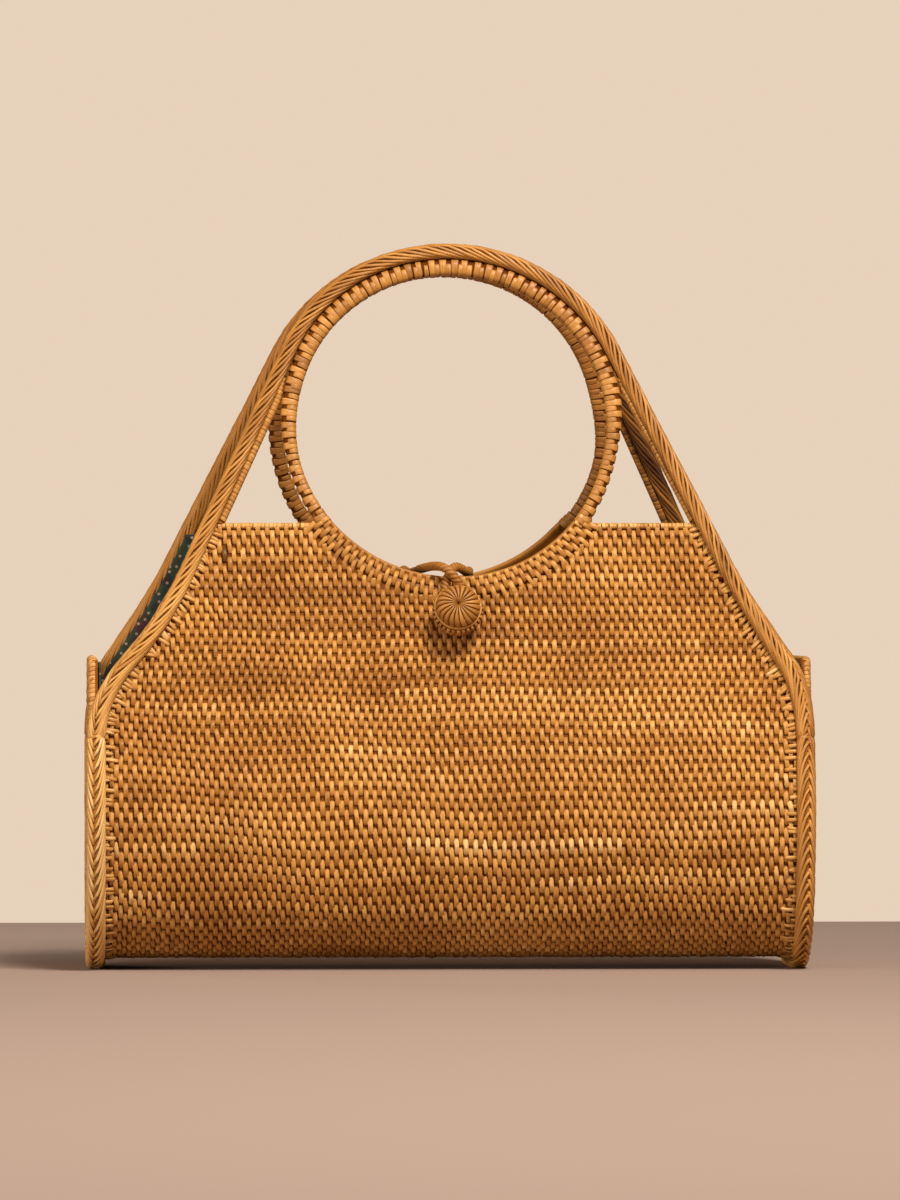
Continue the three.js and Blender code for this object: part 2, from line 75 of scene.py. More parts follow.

# %% [markdown]
# ## Rattan
# Split rattan is a flat glossy strand with fine fibres along it. No two strands have the same
# brown, and a few strands are almost black. The edges and ends that lie deep are painted darker,
# as painted shade. One finish serves every strand, because each vertex carries its own marks:
# `tone` is the colour of its strand, `crest` is how high it lies, which sets the painted shade
# and the gloss, and `strand` runs along the fibres.

# %% Nodes of a finish
def feed(tree, node, inputs):
    """Gives each named input its value, or a link where the value is another node's output."""
    for name, value in inputs.items():
        if isinstance(value, bpy.types.NodeSocket):
            tree.links.new(value, node.inputs[name])
        else:
            node.inputs[name].default_value = value


def add_node(tree, kind, inputs, **settings):
    """A node of a kind, with its settings by name and its inputs fed."""
    made = tree.nodes.new(kind)
    for setting, value in settings.items():
        setattr(made, setting, value)
    feed(tree, made, inputs)
    return made


def add_ramp(tree, factor, stops):
    """A colour ramp over a factor, with a colour for each position."""
    ramp = add_node(tree, "ShaderNodeValToRGB", {"Fac": factor})
    elements = ramp.color_ramp.elements
    while len(elements) < len(stops):
        elements.new(1.0)
    for element, (position, colour) in zip(elements, stops):
        element.position = position
        element.color = (*colour, 1.0)
    return ramp.outputs["Color"]


def multiply(tree, product, *colours):
    """The product of several colours, one after the other."""
    for colour in colours:
        inputs = {"Factor": 1.0, "A": product, "B": colour}
        mix = add_node(tree, "ShaderNodeMix", inputs, data_type="RGBA", blend_type="MULTIPLY")
        product = mix.outputs["Result"]
    return product


def read_mark(tree, name, output):
    """What a mark of the mesh says, as a number or as a vector."""
    return add_node(tree, "ShaderNodeAttribute", {}, attribute_name=name).outputs[output]


def add_noise(tree, vector, scale, detail):
    """Noise over a vector."""
    inputs = {"Vector": vector, "Scale": scale, "Detail": detail}
    return add_node(tree, "ShaderNodeTexNoise", inputs).outputs["Fac"]


def add_range(tree, value, low, high):
    """A value from 0 to 1, spread from low to high."""
    inputs = {"Value": value, "To Min": low, "To Max": high}
    return add_node(tree, "ShaderNodeMapRange", inputs).outputs["Result"]


def add_relief(tree, height, strength, distance):
    """The normal of a fine relief."""
    inputs = {"Height": height, "Strength": strength, "Distance": distance}
    return add_node(tree, "ShaderNodeBump", inputs).outputs["Normal"]


def new_finish(name):
    """A material with its tree and its shader."""
    finish = bpy.data.materials.new(name)
    finish.use_nodes = True
    return finish, finish.node_tree, finish.node_tree.nodes["Principled BSDF"]


print("helpers for nodes, ramps, noise and relief are ready")

# %% Rattan finish
RATTAN_TONES = [
    (0.0, (0.030, 0.010, 0.004)),
    (0.05, (0.075, 0.027, 0.008)),
    (0.12, (0.33, 0.132, 0.024)),
    (0.42, (0.50, 0.224, 0.045)),
    (0.65, (0.60, 0.300, 0.073)),
    (0.85, (0.69, 0.386, 0.120)),
    (1.0, (0.76, 0.485, 0.200)),
]
# painted shade: the lower a point's crest mark, the darker its colour
PAINTED_DEPTH_SHADES = [(0.0, (0.40, 0.26, 0.16)), (0.45, (0.80, 0.70, 0.58)), (0.85, (1, 1, 1))]
FIBRE_SHADES = [(0.25, (0.74, 0.66, 0.58)), (0.5, (1.0, 1.0, 1.0)), (0.8, (1.16, 1.18, 1.2))]
PATCH_SHADES = [(0.3, (0.86, 0.80, 0.74)), (0.5, (1, 1, 1)), (0.72, (1.1, 1.13, 1.16))]
FIBRE_NOISE = (1.0, 3.0)  # scale and detail
PATCH_NOISE = (26.0, 3.0)
FIBRE_RELIEF = (0.35, 0.0002)  # strength, and height in metres
GLOSS = 0.34


def rattan_finish(name, roughness):
    """Tone of the strand, times a painted shade that darkens what lies deep, a patchy shade and
    the fibres' shade. What lies deep is also dull."""
    finish, tree, shader = new_finish(name)
    crest = read_mark(tree, "crest", "Fac")
    fibre = add_noise(tree, read_mark(tree, "strand", "Vector"), *FIBRE_NOISE)
    place = add_node(tree, "ShaderNodeTexCoord", {}).outputs["Object"]
    colour = multiply(
        tree,
        add_ramp(tree, read_mark(tree, "tone", "Fac"), RATTAN_TONES),
        add_ramp(tree, crest, PAINTED_DEPTH_SHADES),
        add_ramp(tree, add_noise(tree, place, *PATCH_NOISE), PATCH_SHADES),
        add_ramp(tree, fibre, FIBRE_SHADES),
    )
    surface = {
        "Base Color": colour,
        "Roughness": add_range(tree, fibre, *roughness),
        "Specular IOR Level": add_range(tree, crest, 0.0, GLOSS),
        "Normal": add_relief(tree, fibre, *FIBRE_RELIEF),
    }
    feed(tree, shader, surface)
    return finish


WEAVE = rattan_finish("rattan_weave", roughness=(0.32, 0.52))
PLAIT = rattan_finish("rattan_plait", roughness=(0.30, 0.50))
print("rattan tones:", len(RATTAN_TONES))

# %% [markdown]
# ## From arrays to pieces
# A piece of strands has thousands of points, so they are worked out as whole arrays in
# millimetres and put into a mesh at once. A part is a small set of arrays: points, faces of
# four corners, end caps and the three marks. Parts are gathered into one mesh when they
# belong to one piece.

# %% Mesh helpers
MM = 0.001
MARKS = {"tone": "FLOAT", "crest": "FLOAT", "strand": "FLOAT_VECTOR"}
TUBE_FIBRES = 0.12  # fibres a millimetre on plain tubes


def gather(parts):
    """One part from several, with the face numbers moved on past the points before them."""
    starts = np.cumsum([0] + [len(part["points"]) for part in parts[:-1]])
    joined = {key: np.concatenate([part[key] for part in parts]) for key in ["points", *MARKS]}
    joined["faces"] = [
        rows + start for part, start in zip(parts, starts) for rows in part["faces"]
    ]
    return joined


def put_piece(name, part, finish, replaced=None):
    """A mesh object of a part, at the origin, that rides on the bag and may replace a solid."""
    mesh = bpy.data.meshes.new(name)
    faces = [face for rows in part["faces"] for face in rows.tolist()]
    mesh.from_pydata((part["points"] * MM).tolist(), [], faces)
    for key, kind in MARKS.items():
        layer = mesh.attributes.new(key, kind, "POINT")
        values = np.ascontiguousarray(part[key], dtype=np.float32).ravel()
        layer.data.foreach_set("vector" if kind == "FLOAT_VECTOR" else "value", values)
    mesh.polygons.foreach_set("use_smooth", np.ones(len(mesh.polygons), dtype=bool))
    mesh.materials.append(finish)
    piece = bpy.data.objects.new(name, mesh)
    bpy.context.scene.collection.objects.link(piece)
    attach(piece, "root")
    if replaced:
        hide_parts(replaced)
    print(name, "has", len(mesh.vertices), "points and", len(faces), "faces")
    return piece


def grid_faces(rows, columns, close_rows=False, close_columns=False):
    """Four-cornered faces of a grid of points that is closed on itself or open each way."""
    number = np.arange(rows * columns).reshape(rows, columns)
    if close_rows:
        number = np.vstack([number, number[:1]])
    if close_columns:
        number = np.hstack([number, number[:, :1]])
    corners = [number[:-1, :-1], number[:-1, 1:], number[1:, 1:], number[1:, :-1]]
    return np.stack(corners, -1).reshape(-1, 4)


def facing_out(points, faces):
    """The faces, turned round where the volume they close is negative."""
    corner = points[faces[0]]
    middle = points.mean(axis=0)
    fan = np.cross(corner[:, 1] - middle, corner[:, 2] - middle)
    fan = fan + np.cross(corner[:, 2] - middle, corner[:, 3] - middle)
    inside_out = np.einsum("ij,ij->", corner[:, 0] - middle, fan) < 0
    return [rows[:, ::-1] if inside_out else rows for rows in faces]


def tube_part(points, closed, tone, crest):
    """A tube through rings of points: quads between the rings, and a cap on each open end."""
    rings, sides = points.shape[:2]
    faces = [grid_faces(rings, sides, closed, True)]
    if not closed:
        ends = np.arange(rings * sides).reshape(rings, sides)[[0, -1]]
        faces.append(np.stack([ends[0], ends[1][::-1]]))
    flat = points.reshape(-1, 3)
    return {
        "points": flat,
        "faces": facing_out(flat, faces),
        "tone": np.full(len(flat), tone),
        "crest": np.full(len(flat), crest),
        "strand": flat * TUBE_FIBRES,
    }


def round_angles(count):
    """Even angles once round."""
    return np.linspace(0, 2 * np.pi, count, endpoint=False)


def lengths_along(line):
    """The length from the start of a line to each of its points."""
    steps = np.linalg.norm(np.diff(line, axis=0), axis=1)
    return np.concatenate([[0], np.cumsum(steps)])


print("marks on every piece:", list(MARKS))

# %% [markdown]
# ## The toggle's loop
# The loop is a limp twisted cord about 4 mm thick. It comes from inside the back wall, lies
# over the lower edge of the hand hole, is hooked round the toggle's neck, crosses under itself
# and goes back in. The route repeats the solid's points, which are given by height and
# distance from the leaning walls, so the bag's side profile comes first. A twisted cord is a
# tube whose section has three lobes that turn as they go along, so the lay of the strands is
# real geometry.

# %% Side profile of the bag
SIDES = {"front": 1, "back": -1}
HANDS = {"left": -1, "right": 1}
WALL = 3.0
GROUND_GAP = 5.0
BOTTOM_HALF = 16.0
CORNER_RADIUS = 44.0
CORNER_TOP = math.radians(-20)
BULGE_RADIUS = 110.0
LEAN = math.radians(13.5)
LEAN_LENGTH = 239.6
SLIP = 0.095
SLIP_RAMP = (8.0, 66.0)

SHEET_BASE = GROUND_GAP + WALL / 2
CORNER_LENGTH = CORNER_RADIUS * (CORNER_TOP + math.pi / 2)
BULGE_LENGTH = BULGE_RADIUS * (LEAN - CORNER_TOP)
LEAN_START = BOTTOM_HALF + CORNER_LENGTH + BULGE_LENGTH


def round_point(middle, radius, angle):
    """A point at a radius and an angle about a middle."""
    return middle[0] + radius * np.cos(angle), middle[1] + radius * np.sin(angle)


CORNER_MIDDLE = (BOTTOM_HALF, SHEET_BASE + CORNER_RADIUS)
BULGE_MIDDLE = round_point(CORNER_MIDDLE, CORNER_RADIUS - BULGE_RADIUS, CORNER_TOP)
LEAN_FOOT = round_point(BULGE_MIDDLE, BULGE_RADIUS, LEAN)


def smooth_step(value, low, high):
    """0 below low, 1 above high, and the curve t*t*(3 - 2t) between them."""
    t = np.clip((value - low) / (high - low), 0.0, 1.0)
    return t * t * (3 - 2 * t)


def side_profile(along):
    """Half depth, height and tilt of the outward normal at a length along the sheet: a level
    bottom, then an arc for the corner, an arc for the bulge and a straight lean."""
    run = np.abs(along)
    corner = (run - BOTTOM_HALF) / CORNER_RADIUS - np.pi / 2
    bulge = CORNER_TOP + (run - BOTTOM_HALF - CORNER_LENGTH) / BULGE_RADIUS
    up = run - LEAN_START
    where = [run <= BOTTOM_HALF, corner <= CORNER_TOP, bulge <= LEAN]
    on_corner = round_point(CORNER_MIDDLE, CORNER_RADIUS, corner)
    on_bulge = round_point(BULGE_MIDDLE, BULGE_RADIUS, bulge)
    on_lean = (LEAN_FOOT[0] - up * math.sin(LEAN), LEAN_FOOT[1] + up * math.cos(LEAN))
    level = np.full_like(run, SHEET_BASE)
    depth = np.select(where, [run, on_corner[0], on_bulge[0]], on_lean[0])
    height = np.select(where, [level, on_corner[1], on_bulge[1]], on_lean[1])
    tilt = np.select(where, [np.full_like(run, -np.pi / 2), corner, bulge], LEAN)
    return depth, height, tilt


def slip_at(up):
    """Sideways slip of a leaning wall: a share of its half depth that sets in smoothly."""
    return SLIP * side_profile(LEAN_START + up)[0] * smooth_step(up, *SLIP_RAMP)


def on_sheet(x, along, out):
    """A point of the flat sheet, folded up: x across, along from the middle of the bottom with
    the front positive, out from the middle of the wall along the tilted normal."""
    x, along, out = np.broadcast_arrays(*(np.asarray(v, dtype=float) for v in (x, along, out)))
    side = np.sign(along)
    depth, height, tilt = side_profile(along)
    across = x + side * slip_at(np.abs(along) - LEAN_START)
    y = -side * (depth + out * np.cos(tilt))
    return np.stack([across, y, height + out * np.sin(tilt)], axis=-1)


print("the sheet starts to lean", round(LEAN_START, 1), "mm from the middle of the bottom")

# %% Route of the loop
CORD = 4.0
CORD_BEND = 8.0
TOGGLE_X = 3.1
TOGGLE_UP = 64.2
NECK_SLANT = CORD_BEND * math.sqrt(0.5)
# side of the bag, height along the lean, distance out of the wall, x
ROUTE = [
    (-1, 64.0, -6.2, -19.0),
    (-1, 70.5, -6.2, -19.0),
    (-1, 77.5, -6.2, -19.0),
    (-1, 84.0, -7.6, -19.0),
    (-1, 89.4, -13.4, -18.4),
    (-1, 91.0, -25.0, -16.4),
    (1, 88.6, -7.0, -12.0),
    (1, 87.4, 2.2, -7.4),
    (1, 85.6, 7.7, -3.6),
    (1, 83.0, 9.4, -0.1),
    (1, 79.5, 8.4, 2.9),
    (1, 75.5, 6.0, 5.8),
    (1, 70.5, 5.0, 8.8),
    (1, TOGGLE_UP, 4.3, TOGGLE_X + CORD_BEND),
    (1, TOGGLE_UP - NECK_SLANT, 4.0, TOGGLE_X + NECK_SLANT),
    (1, TOGGLE_UP - CORD_BEND, 4.0, TOGGLE_X),
    (1, TOGGLE_UP - NECK_SLANT, 4.0, TOGGLE_X - NECK_SLANT),
    (1, TOGGLE_UP, 4.3, TOGGLE_X - CORD_BEND),
    (1, 70.5, 5.0, -2.8),
    (1, 76.0, 5.3, -2.0),
    (1, 80.5, 5.1, -1.4),
    (1, 84.6, 4.4, 0.3),
    (1, 87.4, 0.8, 2.8),
    (1, 87.6, -3.6, 5.6),
    (1, 87.2, -9.5, 8.4),
    (-1, 90.2, -25.0, 11.4),
    (-1, 89.0, -13.4, 12.0),
    (-1, 84.0, -7.6, 12.0),
    (-1, 77.5, -6.2, 11.8),
    (-1, 70.5, -6.2, 11.8),
    (-1, 64.0, -6.2, 11.8),
]
ROUTE_STEPS = 14  # points between two rows of the route


def smooth_route(knots, steps):
    """A centripetal Catmull-Rom curve: between two knots it blends the lines through their
    neighbours, and the steps between knots grow with the root of their distance."""
    ends = np.vstack([2 * knots[0] - knots[1], knots, 2 * knots[-1] - knots[-2]])
    gaps = np.sqrt(np.linalg.norm(np.diff(ends, axis=0), axis=1))
    times = np.concatenate([[0.0], np.cumsum(gaps)])
    t0, t1, t2, t3 = (times[i : len(times) - 3 + i, None, None] for i in range(4))
    p0, p1, p2, p3 = (ends[i : len(ends) - 3 + i, None, :] for i in range(4))
    t = t1 + (t2 - t1) * np.linspace(0, 1, steps, endpoint=False)[None, :, None]
    a1 = ((t1 - t) * p0 + (t - t0) * p1) / (t1 - t0)
    a2 = ((t2 - t) * p1 + (t - t1) * p2) / (t2 - t1)
    a3 = ((t3 - t) * p2 + (t - t2) * p3) / (t3 - t2)
    b1 = ((t2 - t) * a1 + (t - t0) * a2) / (t2 - t0)
    b2 = ((t3 - t) * a2 + (t - t1) * a3) / (t3 - t1)
    curve = ((t2 - t) * b1 + (t - t1) * b2) / (t2 - t1)
    return np.vstack([curve.reshape(-1, 3), knots[-1:]])


side_of, up_of, out_of, x_of = np.array(ROUTE).T
knots = on_sheet(0.0, side_of * (LEAN_START + up_of), out_of)
knots[:, 0] = x_of
loop_line = smooth_route(knots, ROUTE_STEPS)

# %% Twisted cord
CORD_SIDES = 24
CORD_LOBES = 3
CORD_TWIST = 6.0  # mm for a full turn
CORD_CREST = 1.06  # of the radius
CORD_GROOVE = 0.2
GROOVE_SHADE = 0.85
CORD_TONE = 0.22
CORD_FIBRES = (0.3, 2.4)  # along and round
CROSSWAYS = np.array([1.0, 0.25, 0.15])  # the loop never runs this way


def carried_frames(line):
    """Two directions across a line at each point: a fixed direction with its part along the
    line taken out, and the cross product of the line with it."""
    run = np.gradient(line, axis=0)
    run /= np.linalg.norm(run, axis=1, keepdims=True)
    first = CROSSWAYS - run * (run @ CROSSWAYS)[:, None]
    first /= np.linalg.norm(first, axis=1, keepdims=True)
    return first, np.cross(run, first)


def twisted_cord(line, radius):
    """A tube whose radius falls in grooves between lobes: radius * (crest - groove * sin^4) of
    half the lobes' angle, which turns with the length along the line."""
    length = lengths_along(line)[:, None]
    angle = round_angles(CORD_SIDES)
    turn = angle + 2 * np.pi * length / CORD_TWIST
    groove = np.sin(turn * CORD_LOBES / 2) ** 4
    reach = radius * (CORD_CREST - CORD_GROOVE * groove)
    first, second = carried_frames(line)
    across = first[:, None] * np.cos(angle)[:, None] + second[:, None] * np.sin(angle)[:, None]
    part = tube_part(line[:, None] + across * reach[..., None], False, CORD_TONE, 1.0)
    part["crest"] = (1.0 - GROOVE_SHADE * groove).ravel()
    fibres = np.broadcast_arrays(length * CORD_FIBRES[0], turn * CORD_FIBRES[1], 0.0)
    part["strand"] = np.stack(fibres, axis=-1).reshape(-1, 3)
    return part


cord_part = twisted_cord(loop_line, CORD / 2)
loop_cord = put_piece("toggle_cord", cord_part, WEAVE, "toggle_loop")

# %% [markdown]
# ## Laying strands
# Every woven, plaited or stitched part of the bag is made of short strands. A strand follows
# a line on a surface, and its section is a low arch over a flat underside, which is round,
# square-shouldered or flat. A bevelled curve for each strand would be slow by the thousand, so
# one function lays a whole set: it takes a placing function and the strands' paths in that
# surface's own two directions.

# %% Strands
# places across in half widths, heights in thicknesses, and shares of the crest
ROUND_SECTION = ([-1.0, -0.5, 0.5, 1.0], [0.0, 0.9, 0.9, 0.0], [0.75, 1.0, 1.0, 0.75])
BLOCK_SECTION = ([-1.0, -0.74, 0.74, 1.0], [0.0, 0.95, 0.95, 0.0], [0.75, 1.0, 1.0, 0.75])
FLAT_SECTION = (
    [-1.0, -0.92, -0.62, 0.62, 0.92, 1.0],
    [0.0, 0.82, 1.0, 1.0, 0.82, 0.0],
    [0.6, 0.85, 1.0, 1.0, 0.85, 0.6],
)
NORMAL_STEP = 0.5
FIBRE_LENGTH = 9.0
FIBRE_WIDTH = 0.4
FIBRE_SPREAD = 90.0  # keeps the fibres of two strands apart


def unit(vectors):
    """Vectors of length one."""
    return vectors / np.maximum(np.linalg.norm(vectors, axis=-1, keepdims=True), 1e-9)


def lay_strands(
    place, first, second, lift, *, width, thick, tone, crest, seed, section=ROUND_SECTION
):
    """Strands along paths on a surface. Each row of first, second and lift is one strand and
    each column a station on it. The width lies across the path and square to the surface's
    normal, which comes from a small step outwards."""
    first, second, lift = np.broadcast_arrays(first, second, lift)
    line = place(first, second, lift)
    normal = place(first, second, lift + NORMAL_STEP) - line
    run = np.gradient(line, axis=1)
    side = unit(np.cross(run, normal))
    above = unit(np.cross(side, run))
    across, over, shown = (np.array(values) for values in section)
    shape = (*first.shape, len(across))
    half = np.broadcast_to(np.asarray(width) / 2, first.shape)[..., None] * across
    high = np.broadcast_to(thick, first.shape)[..., None] * over
    body = line[:, :, None] + side[:, :, None] * half[..., None]
    body = body + above[:, :, None] * high[..., None]
    number = np.arange(math.prod(shape)).reshape(shape)
    turned = np.roll(number, -1, axis=2)
    quads = [number[:, :-1], turned[:, :-1], turned[:, 1:], number[:, 1:]]
    caps = np.concatenate([number[:, 0, ::-1], number[:, -1]])
    length = np.linalg.norm(np.diff(line, axis=1), axis=2).cumsum(axis=1)
    length = np.concatenate([np.zeros((len(line), 1)), length], axis=1)[..., None]
    chance = np.random.default_rng(seed).uniform(0, FIBRE_SPREAD, (len(line), 1, 1))
    fibres = [length / FIBRE_LENGTH + chance, half / FIBRE_WIDTH + chance, chance]
    return {
        "points": body.reshape(-1, 3),
        "faces": [np.stack(quads, axis=-1).reshape(-1, 4), caps],
        "tone": np.broadcast_to(np.reshape(tone, (-1, 1, 1)), shape).ravel(),
        "crest": (np.broadcast_to(crest, first.shape)[..., None] * shown).ravel(),
        "strand": np.stack([np.broadcast_to(f, shape) for f in fibres], axis=-1).reshape(-1, 3),
    }


print("points round a strand:", len(ROUND_SECTION[0]), "or", len(FLAT_SECTION[0]))

# %% [markdown]
# ## Outline of the upper walls
# Above the bulge each wall narrows along a slanted edge, and the plaited rim follows it up and
# over an arch. The edge is known by its slope along its length: a quarter turn at the top of
# the arch, then a straight slant, a hollow flare and a round shoulder. Adding up small steps
# along that slope gives the outline, which the weave, the plait and the lining all share.

# %% Outline
GAP = 0.3
END_X = 165.0
FRONT_TOP = 108.0
HOLE_RADIUS = 71.0
RING_RADIUS = 79.0
ARCH_WIDTH = 6.2
END_WIDTH = 7.6
ARCH_RADIUS = RING_RADIUS + GAP + ARCH_WIDTH
HOLE_UP = LEAN_LENGTH - ARCH_RADIUS
SHOULDER_ANGLE = math.radians(25.2)
FLARE_ANGLE = math.radians(38)
FLARE_RADIUS = 227.0
SHOULDER_RADIUS = 63.0
WIDTH_CHANGE = (10.0, 110.0)
RING_SWAY = 1.7
SWAY_RAMP = (125.0, 182.0)
EDGE_STEP = 0.2

flare_x = FLARE_RADIUS * (math.cos(SHOULDER_ANGLE) - math.cos(FLARE_ANGLE))
shoulder_x = SHOULDER_RADIUS * (1 - math.cos(FLARE_ANGLE))
slant_x = END_X - ARCH_RADIUS * math.cos(SHOULDER_ANGLE) - flare_x - shoulder_x
lengths = [
    0.0,
    ARCH_RADIUS * (math.pi / 2 - SHOULDER_ANGLE),
    slant_x / math.sin(SHOULDER_ANGLE),
    FLARE_RADIUS * (FLARE_ANGLE - SHOULDER_ANGLE),
    SHOULDER_RADIUS * FLARE_ANGLE,
]
EDGE_KNOTS = np.cumsum(lengths)
EDGE_SLOPES = [math.pi / 2, SHOULDER_ANGLE, SHOULDER_ANGLE, FLARE_ANGLE, 0.0]
EDGE_END = EDGE_KNOTS[-1]
edge_run = np.linspace(0, EDGE_END, int(EDGE_END / EDGE_STEP))
edge_slope = np.interp(edge_run, EDGE_KNOTS, EDGE_SLOPES)
middle_slope = (edge_slope[1:] + edge_slope[:-1]) / 2
edge_x = np.concatenate([[0], np.cumsum(np.sin(middle_slope) * edge_run[1])])
edge_up = LEAN_LENGTH - np.concatenate([[0], np.cumsum(np.cos(middle_slope) * edge_run[1])])
SHOULDER_FOOT = edge_up[-1]


def rim_width(up):
    """Width of the plaited rim, from the ends' to the arch's."""
    return END_WIDTH + (ARCH_WIDTH - END_WIDTH) * smooth_step(up, *WIDTH_CHANGE)


def rim_height(run):
    """Height along the lean of the rim's outer edge, at a length from the top of the arch."""
    return np.interp(np.abs(run), edge_run, edge_up)


def rim_edge(run, inward):
    """x and height along the lean of a point this far inwards of the rim's outer edge, at a
    signed length from the top of the arch, with the right half positive."""
    slope = np.interp(np.abs(run), edge_run, edge_slope)
    x = np.interp(np.abs(run), edge_run, edge_x) - np.cos(slope) * inward
    return np.sign(run) * x, rim_height(run) - np.sin(slope) * inward


def edge_line(inward):
    """Half width against height along the lean, on a line inside the rim's outer edge."""
    x, up = rim_edge(edge_run, inward)
    rising = np.argsort(up)
    return lambda height: np.interp(height, up[rising], x[rising])


wall_half = edge_line(rim_width(edge_up) + GAP)


def sway_at(up):
    """How far a hand ring hangs against its wall's slip, fading out towards the arch."""
    return RING_SWAY * (smooth_step(up, *SWAY_RAMP) - 1.0)


def half_chord(offset, radius):
    """Half a circle's chord at an offset from its middle, or nothing outside it."""
    return np.sqrt(np.maximum(radius**2 - np.square(offset), 0.0))


print("rim from the arch to the foot:", round(EDGE_END), "mm, foot at", round(SHOULDER_FOOT, 1))

# %% [markdown]
# ## The woven sheet
# The walls are rows of thin canes, and flat strands are stitched over them. A stitch spans two
# rows, the next row's stitches lie half a step aside, and where two ends meet they dive in and
# leave a dark slot. So the weave is a brick pattern of strands in the flat sheet, folded up
# with it. A strand makes twenty or thirty stitches before the next one takes over, which gives
# the streaks of colour along the rows. A plain sheet behind them closes the wall; it is painted
# dark as the shade in the slots.

# %% Rows
ROW_ALONG = [0.0, 60.0, 107.0, 125.0, 150.0, 178.0, 206.0, 222.0, 242.0]
ROW_PITCH = [4.4, 4.4, 4.35, 4.0, 3.75, 3.5, 3.75, 4.05, 4.1]
ROW_STEP = 0.25
STITCH = 4.35  # from one stitch to the next in a row
ROW_DRIFT = 0.1
STITCH_STRAY = 0.12
SAG = 5.0  # drop of the lower rows from the left end to the middle
SAG_REACH = 130.0
SAG_HEIGHTS = (0.0, 60.0, 115.0, 200.0)
SAG_SHARES = (0.0, 1.0, 1.0, 0.0)


def row_pitch(along):
    """Distance between rows at a length along the sheet."""
    return np.interp(np.abs(along), ROW_ALONG, ROW_PITCH)


def sag(x, along):
    """Drop of the rows: a parabola that falls from the left end and levels off, with a share
    that fades towards the top edge and the middle of the bottom."""
    from_left = np.clip((x + END_X) / SAG_REACH, 0.0, 1.0)
    share = np.interp(np.abs(along), SAG_HEIGHTS, SAG_SHARES)
    return SAG * share * (1 - (1 - from_left) ** 2)


def brick(creases, reach, seed):
    """Brick pattern over the creases between rows: number of the crease, number of the stitch,
    the stitch's place across and its crease's place. Every second crease's stitches move half
    a step, and each drifts a little from the one before."""
    stitches = np.arange(-int(reach / STITCH) - 2, int(reach / STITCH) + 3)
    grids = np.meshgrid(np.arange(len(creases)), stitches, indexing="ij")
    row, stitch = (grid.ravel() for grid in grids)
    rng = np.random.default_rng(seed)
    drift = np.cumsum(rng.normal(0, ROW_DRIFT, len(creases)))[row]
    x = (stitch + 0.5 * (row % 2)) * STITCH + drift
    return row, stitch, x + rng.normal(0, STITCH_STRAY, x.shape), creases[row]


half_run = np.arange(0.0, LEAN_START + FRONT_TOP, ROW_STEP)
rows_passed = np.concatenate([[0.0], np.cumsum(ROW_STEP / row_pitch(half_run))])[:-1]
half_rows = np.interp(np.arange(1, int(rows_passed[-1]) + 1), rows_passed, half_run)
CREASES = np.concatenate([-half_rows[::-1], [0.0], half_rows])
row, stitch, stitch_x, stitch_along = brick(CREASES, END_X, seed=11)
print(len(CREASES), "creases and", len(stitch_x), "places for stitches")

# %% Colour of the stitches
STRAND_RUNS = (12, 40)  # stitches that one strand makes
STRAND_STARTS = 60
STRAND_TONES = (0.5, 0.14)  # middle and spread
STITCH_TONES = 0.07
TONE_LIMITS = (0.16, 0.97)
DARK_STRANDS = 0.0015
DARK_TONE = 0.07
# tone shifts with height, lighter just above the bulge and darker low and high up: partly the
# strands' tone, partly painted light and shade for how the light falls at each height
TONE_HEIGHTS = (40.0, 60.0, 88.0, 130.0, 160.0, 190.0, 225.0)
TONE_SHIFTS = (-0.08, -0.06, 0.08, 0.02, -0.04, -0.15, -0.1)
TONE_WAVE = 0.1
# gradients across and along and a start, for each wave
WAVE_LOW = [0.02, 0.02, 0]
WAVE_HIGH = [0.08, 0.09, 6.28]
WAVES = 4


def waves(x, along, size, seed):
    """A gentle uneven field: a sum of four sine waves with seeded directions and starts."""
    rng = np.random.default_rng(seed)
    total = 0.0
    for across, down, start in rng.uniform(WAVE_LOW, WAVE_HIGH, (WAVES, 3)):
        total = total + np.sin(x * across + along * down + start)
    return total * size / WAVES


def strand_tones(rows, stitches, seed, shift):
    """Tone of each stitch: the tone of the strand that makes it, which lasts for a run of
    stitches in its row, a little of its own, and a shift. A few are almost black."""
    rng = np.random.default_rng(seed)
    row_count = rows.max() + 1
    run = rng.integers(*STRAND_RUNS, row_count)[rows]
    start = rng.integers(0, STRAND_STARTS, row_count)[rows]
    strand = (stitches - stitches.min() + start) // run
    tone = rng.normal(*STRAND_TONES, (row_count, strand.max() + 1))[rows, strand]
    tone = np.clip(tone + rng.normal(0, STITCH_TONES, rows.shape) + shift, *TONE_LIMITS)
    return np.where(rng.random(rows.shape) < DARK_STRANDS, DARK_TONE, tone)


shift = waves(stitch_x, stitch_along, TONE_WAVE, seed=13)
shift = shift + np.interp(np.abs(stitch_along), TONE_HEIGHTS, TONE_SHIFTS)
stitch_tone = strand_tones(row, stitch, 12, shift)
print("tones from", round(stitch_tone.min(), 2), "to", round(stitch_tone.max(), 2))

# %% Stitches
STITCH_STATIONS = np.array([-1.0, -0.82, -0.42, -0.12, 0.2, 0.5, 0.84, 1.0])
STITCH_RISE = np.array([0.05, 0.5, 0.62, 0.96, 1.0, 0.68, 0.52, 0.05])
STITCH_BREADTH = np.array([0.9, 1.14, 1.18, 0.96, 0.94, 1.16, 1.12, 0.9])
STITCH_CREASE = 0.97  # the rise where a stitch crosses a crease
STITCH_LOW = -0.6
STITCH_HIGH = 1.1
HIGH_SPREAD = 0.16
STITCH_REACH = 0.8  # of the row
STITCH_WIDTH = 2.3
WIDTH_SPREAD = 0.06
STITCH_THICK = 0.6
STITCH_LEAN = 0.1
LEAN_SPREAD = 0.06
LEAST_ROOM = 0.4  # shortest upper end
